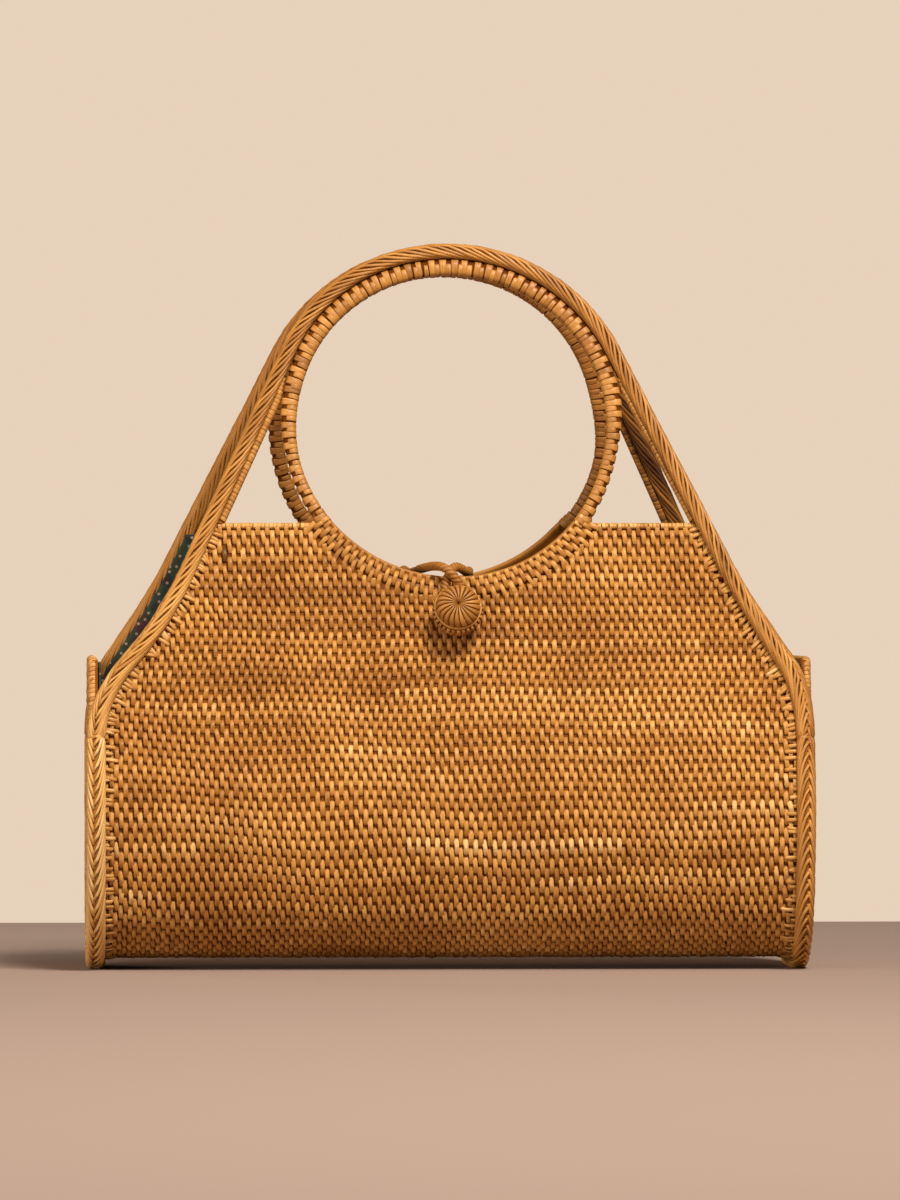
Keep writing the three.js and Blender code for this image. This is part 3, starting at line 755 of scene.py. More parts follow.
# painted shade: a stitch is painted darker where it lies low, most at the ends that dive into the
# slots
LEAST_CREST = 0.25
ROW_WAVE = 1.2
CALM_HEIGHTS = (60, 104)  # where the rows straighten below the top edge
CALM_SHARES = (1.0, 0.2)


def column(values):
    """One value for each strand or row, or one for all."""
    return np.reshape(values, (-1, 1))


def stitch_part(place, x, along, way, pitch, room, tone, seed):
    """Stitches over two rows each: they lean, stand highest in the middle, where they cross the
    crease, lie lower on both sides of it and dive in at the ends. The way upwards is plus or
    minus one, and an upper end that has too little room is drawn in."""
    rng = np.random.default_rng(seed)
    count = (len(x), 1)
    full = STITCH_REACH * column(pitch)
    upper = np.clip(column(room), LEAST_ROOM, full)
    share = np.where(STITCH_STATIONS > 0, upper / full, 1.0)
    reach = full * share * STITCH_STATIONS
    rise = STITCH_CREASE + (STITCH_RISE - STITCH_CREASE) * share
    lean = STITCH_LEAN + rng.normal(0, LEAN_SPREAD, count)
    high = STITCH_HIGH + rng.normal(0, HIGH_SPREAD, count)
    return lay_strands(
        place,
        column(x) - lean * reach,
        column(along) + column(way) * reach,
        STITCH_LOW + (high - STITCH_LOW) * rise,
        width=STITCH_WIDTH * rng.normal(1, WIDTH_SPREAD, count) * STITCH_BREADTH,
        thick=STITCH_THICK,
        tone=tone,
        crest=LEAST_CREST + (1 - LEAST_CREST) * rise,
        seed=seed,
        section=BLOCK_SECTION,
    )


stitch_row = row_pitch(stitch_along)
stitch_side = np.where(stitch_along < 0, -1.0, 1.0)
calm = np.interp(np.abs(stitch_along) - LEAN_START, CALM_HEIGHTS, CALM_SHARES)
stitch_along = stitch_along + waves(stitch_x, stitch_along, ROW_WAVE, seed=14) * calm
stitch_along = stitch_along - stitch_side * sag(stitch_x, stitch_along)
stitch_up = np.abs(stitch_along) - LEAN_START
print("stitches up to", round(stitch_up.max(), 1), "mm along the lean")

# %% Woven walls
UNDER_RIM = 2.2  # how far stitches go on under the plait
UNDER_WRAP = 2.6  # how far below the top edge they end
BESIDE_RING = 3.0
OVER_TOP = 1.6  # how far above that the last row's crease may lie
BOTTOM_REACH = 40.0


def wall_top(x, side):
    """Height along the lean where the wall's stitches end: below the wrapped top edge, or at
    a circle outside the hand ring."""
    aside = x - side * sway_at(FRONT_TOP)
    round_ring = HOLE_UP - half_chord(aside, RING_RADIUS + BESIDE_RING)
    return np.minimum(FRONT_TOP - UNDER_WRAP, round_ring)


room = wall_top(stitch_x, stitch_side) - stitch_up
inside = np.abs(stitch_x) < wall_half(stitch_up - stitch_row / 2) + UNDER_RIM
inside &= room > -OVER_TOP
areas = {
    "weave_front": stitch_along > BOTTOM_REACH,
    "weave_bottom": np.abs(stitch_along) <= BOTTOM_REACH,
    "weave_back": stitch_along < -BOTTOM_REACH,
}
stitches = (stitch_x, stitch_along, stitch_side, stitch_row, room, stitch_tone)
for seed, (name, area) in enumerate(areas.items(), start=21):
    picked = (values[inside & area] for values in stitches)
    put_piece(name, stitch_part(on_sheet, *picked, seed), WEAVE)

# %% Sheet behind the stitches
SHEET_OUT = -0.1
SHEET_THICK = 1.4
# painted shade: a dark tone and a low crest paint the sheet dark as the shade in the slots
SHEET_LOOK = (0.3, 0.12)  # tone and crest
SHEET_FIBRES = 0.5
SHEET_COLUMNS = 30  # from the middle to an edge
SHEET_ROWS = (121, 25)  # below the round cut, and beside it
SHEET_UNDER_TOP = 1.0
JOIN_DISTANCE = 0.02


def sheet_part(place, first, second, out, tone, crest):
    """An open sheet over a grid of places, with its faces turned towards the outside."""
    first, second = np.broadcast_arrays(first, second)
    points = place(first, second, out)
    outside = place(first, second, out + 1.0) - points
    faces = grid_faces(*first.shape)
    flat = points.reshape(-1, 3)
    corner = flat[faces]
    normal = np.cross(corner[:, 2] - corner[:, 0], corner[:, 3] - corner[:, 1])
    if np.einsum("ij,ij->", normal, outside.reshape(-1, 3)[faces[:, 0]]) < 0:
        faces = faces[:, ::-1]
    return {
        "points": flat,
        "faces": [faces],
        "tone": np.full(len(flat), tone),
        "crest": np.full(len(flat), crest),
        "strand": np.stack([first, second, 0 * first], axis=-1).reshape(-1, 3) * SHEET_FIBRES,
    }


def wall_parts(out, half, radius, top, columns, look):
    """The U of a wall as open sheets: one below the round cut, and one to each side of the cut
    on the front and the back. Rows lie closer where the cut is nearly level."""
    low = HOLE_UP - radius
    below = LEAN_START + low
    along = column(np.linspace(-below, below, SHEET_ROWS[0]))
    wide = half(np.abs(along) - LEAN_START)
    share = np.linspace(-1, 1, 2 * columns + 1)
    parts = [sheet_part(on_sheet, wide * share, along, out, *look)]
    up = low + (top - low) * column(np.linspace(0, 1, SHEET_ROWS[1])) ** 2
    start = half_chord(HOLE_UP - up, radius)
    half_share = np.linspace(0, 1, columns + 1)
    for side in SIDES.values():
        for hand in (1, -1):
            inner = hand * start + side * sway_at(up) * (start > 0)
            x = inner + (hand * half(up) - inner) * half_share
            parts.append(sheet_part(on_sheet, x, side * (LEAN_START + up), out, *look))
    return parts


def close_sheet(piece, thickness):
    """Joins the sheets where they meet and gives them a thickness towards the inside."""
    work = bmesh.new()
    work.from_mesh(piece.data)
    bmesh.ops.remove_doubles(work, verts=work.verts, dist=JOIN_DISTANCE * MM)
    work.to_mesh(piece.data)
    work.free()
    shell = piece.modifiers.new("thickness", "SOLIDIFY")
    shell.thickness = thickness * MM
    shell.offset = -1.0


sheet_top = FRONT_TOP - SHEET_UNDER_TOP
walls = wall_parts(
    SHEET_OUT, wall_half, RING_RADIUS + GAP, sheet_top, SHEET_COLUMNS, SHEET_LOOK
)
cane_sheet = put_piece("cane_sheet", gather(walls), WEAVE, "woven_body")
close_sheet(cane_sheet, SHEET_THICK)

# %% [markdown]
# ## Plaited rims
# A herringbone plait covers every seam. Its strands start at a ridge and run slantwise to both
# sides, each over the one before it. On the arch the ridge is the outer edge, so the front
# shows one half of the plait, and towards the ends it moves to the middle of the band. A
# placing function for the rim takes the length along it and the angle round its section, and
# the strands are straight lines in those two.

# %% Section of the rims
SECTION_POWER = 3.2
ARCH_DEPTHS = (-4.5, 4.5)
END_DEPTHS = (-2.5, 5.5)
FOOT_OUTER = SHEET_BASE  # under the bottom the plait reaches the ground
DEPTH_CHANGE = (122.0, 150.0)


def round_section(angle, lift, width, low, high):
    """Across and out of a superellipse: the cosine and sine of the angle, each raised to the
    power 2 / SECTION_POWER with its sign kept, times half the width and half the depth."""
    power = 2 / SECTION_POWER
    c, s = (np.sign(v) * np.abs(v) ** power for v in (np.cos(angle), np.sin(angle)))
    across = -width / 2 + (width / 2 + lift) * c
    return across, (low + high) / 2 + ((high - low) / 2 + lift) * s


def rim_place(side):
    """Placing function of a plaited rim: signed length from the top of the arch, angle round
    the section from its outer edge over the front, and lift."""

    def place(run, angle, lift):
        settle = smooth_step(rim_height(run), *DEPTH_CHANGE)
        low, high = (e + (a - e) * settle for a, e in zip(ARCH_DEPTHS, END_DEPTHS))
        inward, out = round_section(angle, lift, rim_width(rim_height(run)), low, high)
        x, up = rim_edge(run, -inward)
        return on_sheet(side * x, side * (LEAN_START + up), out)

    return place


def end_place(hand):
    """Placing function of the plait round one end: signed length along the sheet, angle round
    the section from the bag's end over the outside, and lift."""

    def place(run, angle, lift):
        along = -hand * np.asarray(run, dtype=float)
        top = LEAN_START + SHOULDER_FOOT
        rise = smooth_step(np.abs(along), BOTTOM_HALF + CORNER_LENGTH, top)
        high = FOOT_OUTER + (END_DEPTHS[1] - FOOT_OUTER) * rise
        inward, out = round_section(angle, lift, END_WIDTH, END_DEPTHS[0], high)
        return on_sheet(hand * (END_X + inward), along, out)

    return place


print("the rims are", ARCH_WIDTH, "mm wide on the arch and", END_WIDTH, "mm at the ends")

# %% Plaiting
PLAIT_STEP = 5.2
PLAIT_STRAY = 0.3
PLAIT_WIDTH = 1.75
PLAIT_WIDTH_SPREAD = 0.08
PLAIT_THICK = 0.75
PLAIT_STATIONS = np.linspace(0, 1, 10)
PLAIT_LIFT = np.interp(
    PLAIT_STATIONS, [0, 0.12, 0.3, 0.85, 1.0], [-0.3, -0.12, -0.05, -0.15, -0.9]
)
PLAIT_LIFT_SPREAD = 0.06
# painted shade: a plait strand is painted darker at both ends, where it tucks under
PLAIT_CREST = np.interp(PLAIT_STATIONS, [0, 0.15, 0.85, 1.0], [0.65, 1.0, 0.95, 0.4])
PLAIT_TUCK = 0.5  # how far a strand sinks where the plait ends
PLAIT_SINK = 0.55
# angles at the ends' bands and on the arch
RIDGE = np.radians([80, 12])
INNER_EDGE = np.radians([188, 188])
OUTER_EDGE = np.radians([-75, -172])
# mm along the rim for a strand of the inner and of the outer half
RIM_SLANTS = (38.0, 44.0)
END_SLANTS = (24.0, 28.0)
# tones at even steps along, for the inner and for the outer half. The back's outer half faces
# into the bag and is painted dark as shade, darkest at the right
RIM_SHADES = {
    "front": ((0.76, 0.26, 0.30, 0.30, 0.38), (0.70, 0.24, 0.30, 0.28, 0.34)),
    "back": ((0.36, 0.34, 0.32, 0.34, 0.36), (0.08, 0.085, 0.14, 0.24, 0.34)),
}
END_SHADES = {
    "left": ((0.68, 0.86, 0.55, 0.98, 0.86), (0.68, 0.86, 0.55, 0.96, 0.80)),
    "right": ((0.42, 0.48, 0.36, 0.48, 0.42), (0.42, 0.48, 0.36, 0.48, 0.42)),
}
SHADE_SPREAD = (0.3, 0.1)  # of the shade, and at most
SHADE_FLOOR = 0.6  # of the shade
SHADE_TOP = 0.98
CORE_SIDES = 20
CORE_STEP = 4
# painted shade: the core between the strands has a crest of a half, so it is painted darker
PLAIT_CORE_LOOK = (0.36, 0.5)  # tone and crest


def arch_share(run):
    """0 at the foot of a rim and 1 on the arch."""
    return smooth_step(rim_height(run), *WIDTH_CHANGE)


def plait_part(place, reach, arch, slants, shades, seed):
    """Strands from the ridge to both sides. Along its path a strand's angle goes evenly from
    the ridge's to the edge's while the length along the rim goes on by the slant."""
    parts = []
    for half, (edge, slant) in enumerate(zip((INNER_EDGE, OUTER_EDGE), slants)):
        rng = np.random.default_rng(seed + half)
        begin = np.arange(-reach - slant, reach, PLAIT_STEP) + half * PLAIT_STEP / 2
        begin = begin + rng.normal(0, PLAIT_STRAY, begin.shape)
        count = (len(begin), 1)
        run = column(begin) + slant * PLAIT_STATIONS
        ridge, goal = (band + (top - band) * arch(run) for band, top in (RIDGE, edge))
        lift = PLAIT_LIFT + rng.normal(0, PLAIT_LIFT_SPREAD, count)
        shown = np.clip(run, -reach, reach)
        width = PLAIT_WIDTH * rng.normal(1, PLAIT_WIDTH_SPREAD, count)
        steps = np.linspace(-reach, reach, len(shades[half]))
        shade = np.interp(begin, steps, shades[half])
        spread = np.minimum(SHADE_SPREAD[0] * shade, SHADE_SPREAD[1])
        tone = shade + spread * rng.normal(0, 1, len(begin))
        strands = lay_strands(
            place,
            shown,
            ridge + (goal - ridge) * PLAIT_STATIONS,
            np.where(shown == run, lift, lift - PLAIT_TUCK),
            width=width,
            thick=PLAIT_THICK,
            tone=np.clip(tone, SHADE_FLOOR * shade, SHADE_TOP),
            crest=PLAIT_CREST,
            seed=seed + half,
        )
        parts.append(strands)
    run = column(np.linspace(-reach, reach, int(2 * reach / CORE_STEP)))
    core = place(run, round_angles(CORE_SIDES), -PLAIT_SINK)
    return gather([*parts, tube_part(core, False, *PLAIT_CORE_LOOK)])


for seed, (face, side) in zip((31, 35), SIDES.items()):
    part = plait_part(rim_place(side), EDGE_END, arch_share, RIM_SLANTS, RIM_SHADES[face], seed)
    put_piece(f"plait_rim_{face}", part, PLAIT, f"rim_braid_{face}")
end_top = LEAN_START + SHOULDER_FOOT - GAP
for seed, (end, hand) in zip((41, 45), HANDS.items()):
    part = plait_part(end_place(hand), end_top, np.zeros_like, END_SLANTS, END_SHADES[end], seed)
    put_piece(f"plait_end_{end}", part, PLAIT, f"end_braid_{end}")

# %% [markdown]
# ## Hand rings
# The ring round each hand hole is a stitched cane. Long flat stitches go right round it, and
# shorter ones between them bind the inner edge only, so dark notches run along the outer edge.
# The angle round the hole and the angle round the ring's section are the two directions of the
# placing function. The part of the ring below the walls' top edge lies under the weave, so it
# has no stitches of its own.

# %% Place on a ring
RING_WIDTH = RING_RADIUS - HOLE_RADIUS
RING_HALF_DEPTH = 3.0
RING_TRIM = 1.8
TRIM_RAMP = (135.0, 172.0)
TRIM_FOOT = (104.0, 116.0)
BACK_RING_OUT = 0.6  # the back ring reaches this much further out


def ring_place(side):
    """Placing function of a hand ring: angle round the hole, angle round the section from the
    outer edge over the front, and lift. Its sides are a little slimmer, by the outer edge in
    front and by the inner edge at the back."""

    def place(turn, angle, lift):
        middle = HOLE_UP + (RING_RADIUS - RING_WIDTH / 2) * np.sin(turn)
        trim = RING_TRIM * (1 - smooth_step(middle, *TRIM_RAMP))
        trim = trim * smooth_step(middle, *TRIM_FOOT)
        outer = RING_RADIUS - trim
        width = RING_WIDTH - trim
        if side == SIDES["back"]:
            outer = RING_RADIUS + BACK_RING_OUT
            width = width + BACK_RING_OUT
        inward, out = round_section(angle, lift, width, -RING_HALF_DEPTH, RING_HALF_DEPTH)
        radius = outer + inward
        up = HOLE_UP + radius * np.sin(turn)
        x = radius * np.cos(turn) + sway_at(up)
        return on_sheet(side * x, side * (LEAN_START + up), out)

    return place


print("the rings are", RING_WIDTH, "mm wide and", 2 * RING_HALF_DEPTH, "mm deep")

# %% Stitched rings
RING_SINK = 0.45
RING_STITCHES = 90
RING_STRAY = 0.05  # of a step
RING_SLANT = (0.08, 0.04)  # of a step, and its spread
RING_STITCH_WIDTH = 2.45
RING_THICK = 0.45
# the back ring is painted darker than the front as shade
RING_TONES = {"front": 0.3, "back": 0.14}
RING_TONE_SPREAD = 0.3
RING_TONE_LIMITS = (0.11, 0.9)
# painted shade: a ring stitch is painted darkest where its lift is this low, at its diving ends
RING_DEEP = -0.7  # lift of what is quite dark
RING_STATIONS = np.linspace(0, 1, 13)
WALL_REACH = math.asin((HOLE_UP - FRONT_TOP) / RING_RADIUS)  # where the wall's edge meets it
# start and end angle round the section, the share of a step that the stitches lie aside, and
# their lift and breadth at the stations
RING_SETS = {
    "long": (
        -15.0,
        375.0,
        0.0,
        np.interp(RING_STATIONS, [0, 0.08, 0.92, 1], [-0.4, 0.0, 0.0, -0.4]),
        np.interp(RING_STATIONS, [0, 0.28, 0.5, 0.72, 1], [1.4, 1.25, 0.95, 1.25, 1.4]),
    ),
    "short": (
        70.0,
        290.0,
        0.5,
        np.interp(RING_STATIONS, [0, 0.09, 0.26, 0.74, 0.91, 1], [-0.8, 0.3, 0, 0, 0.3, -0.8]),
        np.interp(RING_STATIONS, [0, 0.15, 0.85, 1], [0.8, 1.0, 1.0, 0.8]),
    ),
}
CORE_RINGS = 120
# sink, tone and crest of the core under the stitches and, below them, under the weave, where
# the ring shows its inner edge only. Under the stitches the core is painted almost black as the
# shade in the slots, and below them its sunk sides are painted darker by LOWER_SHADE
STITCHED_CORE = (RING_SINK + 0.2, 0.1, 0.02)
LOWER_CORE = (0.1, 0.26, 0.8)
LOWER_SINK = 2.2  # more, in the middle of its sides
LOWER_SHADE = 0.7


def ring_part(place, shade, seed):
    """Two sets of stitches over a core painted dark as shade, where the ring stands free of the
    wall.
    """
    parts = []
    step = 2 * np.pi / RING_STITCHES
    for offset, (start, end, aside, rise, breadth) in enumerate(RING_SETS.values()):
        rng = np.random.default_rng(seed + offset)
        stray = rng.normal(0, RING_STRAY * step, RING_STITCHES)
        turn = (np.arange(RING_STITCHES) + aside) * step + stray
        turn = turn[np.sin(turn) > -math.sin(WALL_REACH + step)]
        count = (len(turn), 1)
        slant = rng.normal(*RING_SLANT, count) * step * (RING_STATIONS - 0.5)
        width = RING_STITCH_WIDTH * rng.normal(1, WIDTH_SPREAD, count) * breadth
        tone = shade * rng.normal(1, RING_TONE_SPREAD, len(turn))
        strands = lay_strands(
            place,
            column(turn) + slant,
            np.radians(start + (end - start) * RING_STATIONS),
            rise - RING_SINK,
            width=width,
            thick=RING_THICK,
            tone=np.clip(tone, *RING_TONE_LIMITS),
            crest=smooth_step(rise, RING_DEEP, 0.0),
            seed=seed + offset,
            section=FLAT_SECTION,
        )
        parts.append(strands)
    turn, angle = np.meshgrid(round_angles(CORE_RINGS), round_angles(CORE_SIDES), indexing="ij")
    covered = np.sin(turn) > -math.sin(WALL_REACH)
    sink, tone, crest = (np.where(covered, *both) for both in zip(STITCHED_CORE, LOWER_CORE))
    sides = np.where(covered, 0.0, np.sin(angle) ** 2)
    core = place(turn, angle, -sink - LOWER_SINK * sides)
    crest = crest - LOWER_SHADE * sides
    return gather([*parts, tube_part(core, True, tone.ravel(), crest.ravel())])


for seed, (face, side) in zip((51, 57), SIDES.items()):
    part = ring_part(ring_place(side), RING_TONES[face], seed)
    put_piece(f"stitched_ring_{face}", part, WEAVE, f"hand_ring_{face}")

# %% [markdown]
# ## Legs of the arch
# Beside each three-cornered window one more cane runs inside the plait, wrapped with stitches.
# It leaves the ring where the rim does and ends on the wall's top edge. A leg is short and
# straight, so its placing function takes the distance along the slanted edge. Its wraps are
# single turns of a flat strand, which also serve for the free edges of the walls and ends.

# %% Turns of a strand
TURN_STATIONS = np.linspace(0, 1, 8)
TURN_LIFT = np.interp(TURN_STATIONS, [0, 0.14, 0.5, 0.86, 1], [-0.7, -0.02, 0.0, -0.02, -0.7])
# painted shade: both tucked ends of a turn are painted darker
TURN_CREST = np.interp(TURN_STATIONS, [0, 0.2, 0.8, 1], [0.2, 1.0, 1.0, 0.2])


def lay_turns(place, begin, slant, angles, sink=0.0, **strand):
    """One turn of a flat strand from each beginning, with both ends tucked in: the angle goes
    evenly from the first to the second of two while the strand goes on by the slant. A sink
    lowers it all."""
    start, end = angles
    return lay_strands(
        place,
        column(begin) + slant * (TURN_STATIONS - 0.5),
        np.radians(start + (end - start) * TURN_STATIONS),
        TURN_LIFT - sink,
        crest=TURN_CREST,
        section=FLAT_SECTION,
        **strand,
    )


print("stations on a turn:", len(TURN_STATIONS))

# %% Stitched legs
LEG_OUTER = ARCH_RADIUS - ARCH_WIDTH - GAP
LEG_WIDTH = 3.0
SLIM_LEG = 1.6  # the front's right leg
LEAST_LEG = 0.6
LEG_DEPTH = 2.6
LEG_START = 14.0
LEG_END = 0.8  # how far above the wall the last wrap lies
LEG_SPREAD = 1.2
LEG_STEP = 2.05
LEG_STRAY = 0.1
LEG_SLANT = 0.8
LEG_ANGLES = (40, 320)
LEG_WRAP = {"sink": 0.3, "width": 2.05, "thick": 0.3}
# the back legs face into the bag and are painted much darker as shade
LEG_TONES = {"front": 0.45, "back": 0.1}
LEG_TONE_SPREAD = 0.25
LEG_TONE_LIMITS = (0.07, 0.92)
LEG_CORE_SINK = 0.7
# painted shade: the leg's core shows between the wraps and is painted dark
LEG_CORE_LOOK = (0.3, 0.2)  # tone and crest
LEG_RINGS = 16
LEG_SIDES = 12


def leg_place(side, hand):
    """Placing function of a leg: distance down the slant from the ring's side, angle round the
    section, and lift. The leg narrows where the ring takes its room."""
    across = np.array([math.cos(SHOULDER_ANGLE), math.sin(SHOULDER_ANGLE)])
    down = np.array([math.sin(SHOULDER_ANGLE), -math.cos(SHOULDER_ANGLE)])
    widest = SLIM_LEG if side == hand == 1 else LEG_WIDTH

    def place(run, angle, lift):
        beside_ring = LEG_OUTER - half_chord(run, RING_RADIUS + GAP)
        width = np.clip(beside_ring, LEAST_LEG, widest) + LEG_SPREAD
        inward, out = round_section(angle, lift, width, -LEG_DEPTH, LEG_DEPTH)
        offset = LEG_OUTER + LEG_SPREAD + inward
        x = across[0] * offset + down[0] * run
        up = HOLE_UP + across[1] * offset + down[1] * run
        return on_sheet(hand * x, side * (LEAN_START + up), out)

    return place


def leg_part(place, shade, seed):
    """Wraps round a cane, each a little slanted."""
    drop = HOLE_UP + math.sin(SHOULDER_ANGLE) * LEG_OUTER - FRONT_TOP
    bottom = drop / math.cos(SHOULDER_ANGLE)
    rng = np.random.default_rng(seed)
    begin = np.arange(LEG_START, bottom - LEG_END, LEG_STEP)
    begin = begin + rng.normal(0, LEG_STRAY, begin.shape)
    tone = np.clip(shade * rng.normal(1, LEG_TONE_SPREAD, len(begin)), *LEG_TONE_LIMITS)
    wraps = lay_turns(place, begin, LEG_SLANT, LEG_ANGLES, **LEG_WRAP, tone=tone, seed=seed)
    run = column(np.linspace(LEG_START, bottom, LEG_RINGS))
    core = place(run, round_angles(LEG_SIDES), -LEG_CORE_SINK)
    return gather([wraps, tube_part(core, False, *LEG_CORE_LOOK)])


legs = [(face, end) for face in SIDES for end in HANDS]
for seed, (face, end) in enumerate(legs, start=71):
    part = leg_part(leg_place(SIDES[face], HANDS[end]), LEG_TONES[face], seed)
    put_piece(f"stitched_leg_{face}_{end}", part, WEAVE, f"arch_leg_{face}_{end}")

# %% [markdown]
# ## Stitches along the edges
# Where the weave meets a rim it is bound down. Short whip stitches stand square to the plait,
# three rows of the weave bend over the lower edge of the hand hole, and the level top edges
# are wrapped over. They all lie on the sheet, so their placing functions go through the
# sheet's.

# %% Whip stitches
WHIP_STEP = 2.3
END_WHIP_STEP = 3.4
WHIP_STRAY = 0.35
END_WHIP_STRAY = 0.8
WHIP_SLANT = (0.6, 1.1)  # middle and spread
END_WHIP_SLANT = (-0.2, 0.5)
WHIP_LENGTH = 5.8
WHIP_LENGTHS = (0.9, 0.2)  # of that, and its spread
WHIP_UNDER = 0.8  # under the plait
WHIP_WIDTH = 1.9
WHIP_THICK = 0.5
WHIP_STATIONS = np.array([0.0, 0.2, 0.5, 0.82, 1.0])
WHIP_OUT = np.array([1.7, 1.95, 1.9, 1.4, -0.2])
# painted shade: a whip is painted darker where it dives into the wall
WHIP_CREST = np.array([1.0, 1.0, 1.0, 1.0, 0.4])
EDGE_TONES = (0.64, 0.15)  # a little lighter than the weave
EDGE_TONE_LIMITS = (0.15, 0.97)


def edge_tones(count, seed):
    """Tones of the binding strands."""
    tone = np.random.default_rng(seed).normal(*EDGE_TONES, count)
    return np.clip(tone, *EDGE_TONE_LIMITS)


def whip_part(x, along, tone_seed, seed):
    """Short strands on the sheet that end by diving in."""
    return lay_strands(
        on_sheet,
        x,
        along,
        WHIP_OUT,
        width=WHIP_WIDTH,
        thick=WHIP_THICK,
        tone=edge_tones(len(x), tone_seed),
        crest=WHIP_CREST,
        seed=seed,
    )


def rim_whips(side, hand, seed):
    """Whips square to the slanted rim, from under the plait into the wall."""
    rng = np.random.default_rng(seed)
    start = np.interp(-FRONT_TOP, -edge_up, edge_run)
    begin = np.arange(start, EDGE_END, WHIP_STEP)
    begin = column(begin + rng.normal(0, WHIP_STRAY, begin.shape))
    run = begin + rng.normal(*WHIP_SLANT, begin.shape) * WHIP_STATIONS
    reach = WHIP_LENGTH * rng.normal(*WHIP_LENGTHS, begin.shape)
    under = rim_width(rim_height(begin)) - WHIP_UNDER
    x, up = rim_edge(run, under + reach * WHIP_STATIONS)
    return whip_part(x * hand, side * (LEAN_START + up), seed + 1, seed)


def end_whips(hand, seed):
    """Whips beside the end plaits, all round the U."""
    rng = np.random.default_rng(seed + hand)
    begin = np.arange(-end_top, end_top, END_WHIP_STEP)
    begin = column(begin + rng.normal(0, END_WHIP_STRAY, begin.shape))
    reach = WHIP_LENGTH * rng.normal(*WHIP_LENGTHS, begin.shape)
    x = END_X - END_WIDTH + WHIP_UNDER - reach * WHIP_STATIONS
    along = begin + rng.normal(*END_WHIP_SLANT, begin.shape) * WHIP_STATIONS
    return whip_part(hand * x, along, seed + 2 + hand, seed + 4)


print("whips every", WHIP_STEP, "mm on the rims and", END_WHIP_STEP, "mm at the ends")

# %% Weave under the hand holes
HOLE_ROWS = (81.0, 77.0, 73.0)  # radii of the creases
HOLE_LIP = 1.6
HOLE_BEND = [71.0, 71.6, 72.8, 77.0, 80.0, 83.0]
HOLE_BEND_OUT = [0.2, 1.0, 1.5, 1.5, 0.7, 0.0]
HOLE_TONE = 0.06


def hole_place(side):
    """Placing function of the weave under a hand hole: length round the hole from its lowest
    point, minus the radius, and lift on a surface that bends over from the ring to the wall."""

    def place(run, below, lift):
        turn = 1.5 * np.pi + run / RING_RADIUS
        up = HOLE_UP - below * np.sin(turn)
        x = -below * np.cos(turn) + sway_at(up)
        out = np.interp(-below, HOLE_BEND, HOLE_BEND_OUT) + lift
        return on_sheet(side * x, side * (LEAN_START + up), out)

    return place


def hole_weave(side, seed):
    """Rows of the weave, bent round the lower edge of the hand hole, where they end."""
    reach = (math.pi / 2 - WALL_REACH) * RING_RADIUS
    row, stitch, run, below = brick(-np.array(HOLE_ROWS), reach, seed)
    keep = np.abs(run) < reach
    pitch = HOLE_ROWS[0] - HOLE_ROWS[1]
    room = -(HOLE_RADIUS + HOLE_LIP) - below
    tone = strand_tones(row, stitch, seed + 1, HOLE_TONE)
    run, below, room, tone = (values[keep] for values in (run, below, room, tone))
    return stitch_part(hole_place(side), run, below, 1.0, pitch, room, tone, seed + 2)


print("rows bent over the hole's edge:", len(HOLE_ROWS))

# %% Wrapped top edges
WRAP_STEP = 1.8
WRAP_STRAY = 0.15
WRAP_RADIUS = 1.9
WRAP_FLAT = 0.5  # how much flatter the edge is than it is high
WRAP_SLANT = 0.7
WRAP_PAST = 0.5
WRAP_ANGLES = (-38, 218)
WRAP = {"width": 1.8, "thick": 0.28}


def top_place(side):
    """Placing function of a wrapped top edge: x, angle over the edge, and lift."""

    def place(x, angle, lift):
        up = FRONT_TOP - WRAP_RADIUS + (WRAP_RADIUS + lift) * np.sin(angle)
        out = (WRAP_RADIUS - WRAP_FLAT + lift) * np.cos(angle)
        return on_sheet(x, side * (LEAN_START + up), out)

    return place


def top_wraps(side, hand, seed):
    """Wraps over a level top edge, between the hole and the slanted rim."""
    rng = np.random.default_rng(seed)
    level = FRONT_TOP - WRAP_RADIUS
    start = half_chord(HOLE_UP - level, RING_RADIUS) + WRAP_PAST + hand * side * sway_at(level)
    x = np.arange(start, wall_half(level) + WRAP_PAST, WRAP_STEP) * hand
    x = x + rng.normal(0, WRAP_STRAY, x.shape)
    slant = -hand * side * WRAP_SLANT
    tone = edge_tones(len(x), seed)
    return lay_turns(top_place(side), x, slant, WRAP_ANGLES, **WRAP, tone=tone, seed=seed)


for number, (face, side) in enumerate(SIDES.items()):
    parts = []
    for hand in HANDS.values():
        seed = 101 + 20 * number + 4 * hand
        parts += [rim_whips(side, hand, seed), top_wraps(side, hand, seed + 2)]
    parts.append(hole_weave(side, 111 + 4 * number))
    put_piece(f"edge_stitches_{face}", gather(parts), WEAVE)
ends = [end_whips(hand, 141) for hand in HANDS.values()]
put_piece("edge_stitches_ends", gather(ends), WEAVE)

# %% [markdown]
# ## End panels
# An upright panel of the same weave closes each end. Only its upper corners and its outer face
# show. Its rows are level, its outline is the side profile a little inside the plait, and
# strands are wrapped over its free edge, up the front, across the top and down the back.

# %% Outline of the end panels
PANEL_X = 164.6
PANEL_TOP = 143.0
PANEL_INSET = -2.8
PANEL_REACH = 60.0  # mm of the lean that the profile takes in
PANEL_BEND = 60.0  # height where the round of the corner is over
PROFILE_POINTS = 800
BEND_SKIP = 8  # every eighth of them is enough in the bend

profile_run = np.linspace(0, LEAN_START + PANEL_REACH, PROFILE_POINTS)
profile_depth, profile_height, profile_tilt = side_profile(profile_run)
panel_y = profile_depth + PANEL_INSET * np.cos(profile_tilt)
panel_z = profile_height + PANEL_INSET * np.sin(profile_tilt)


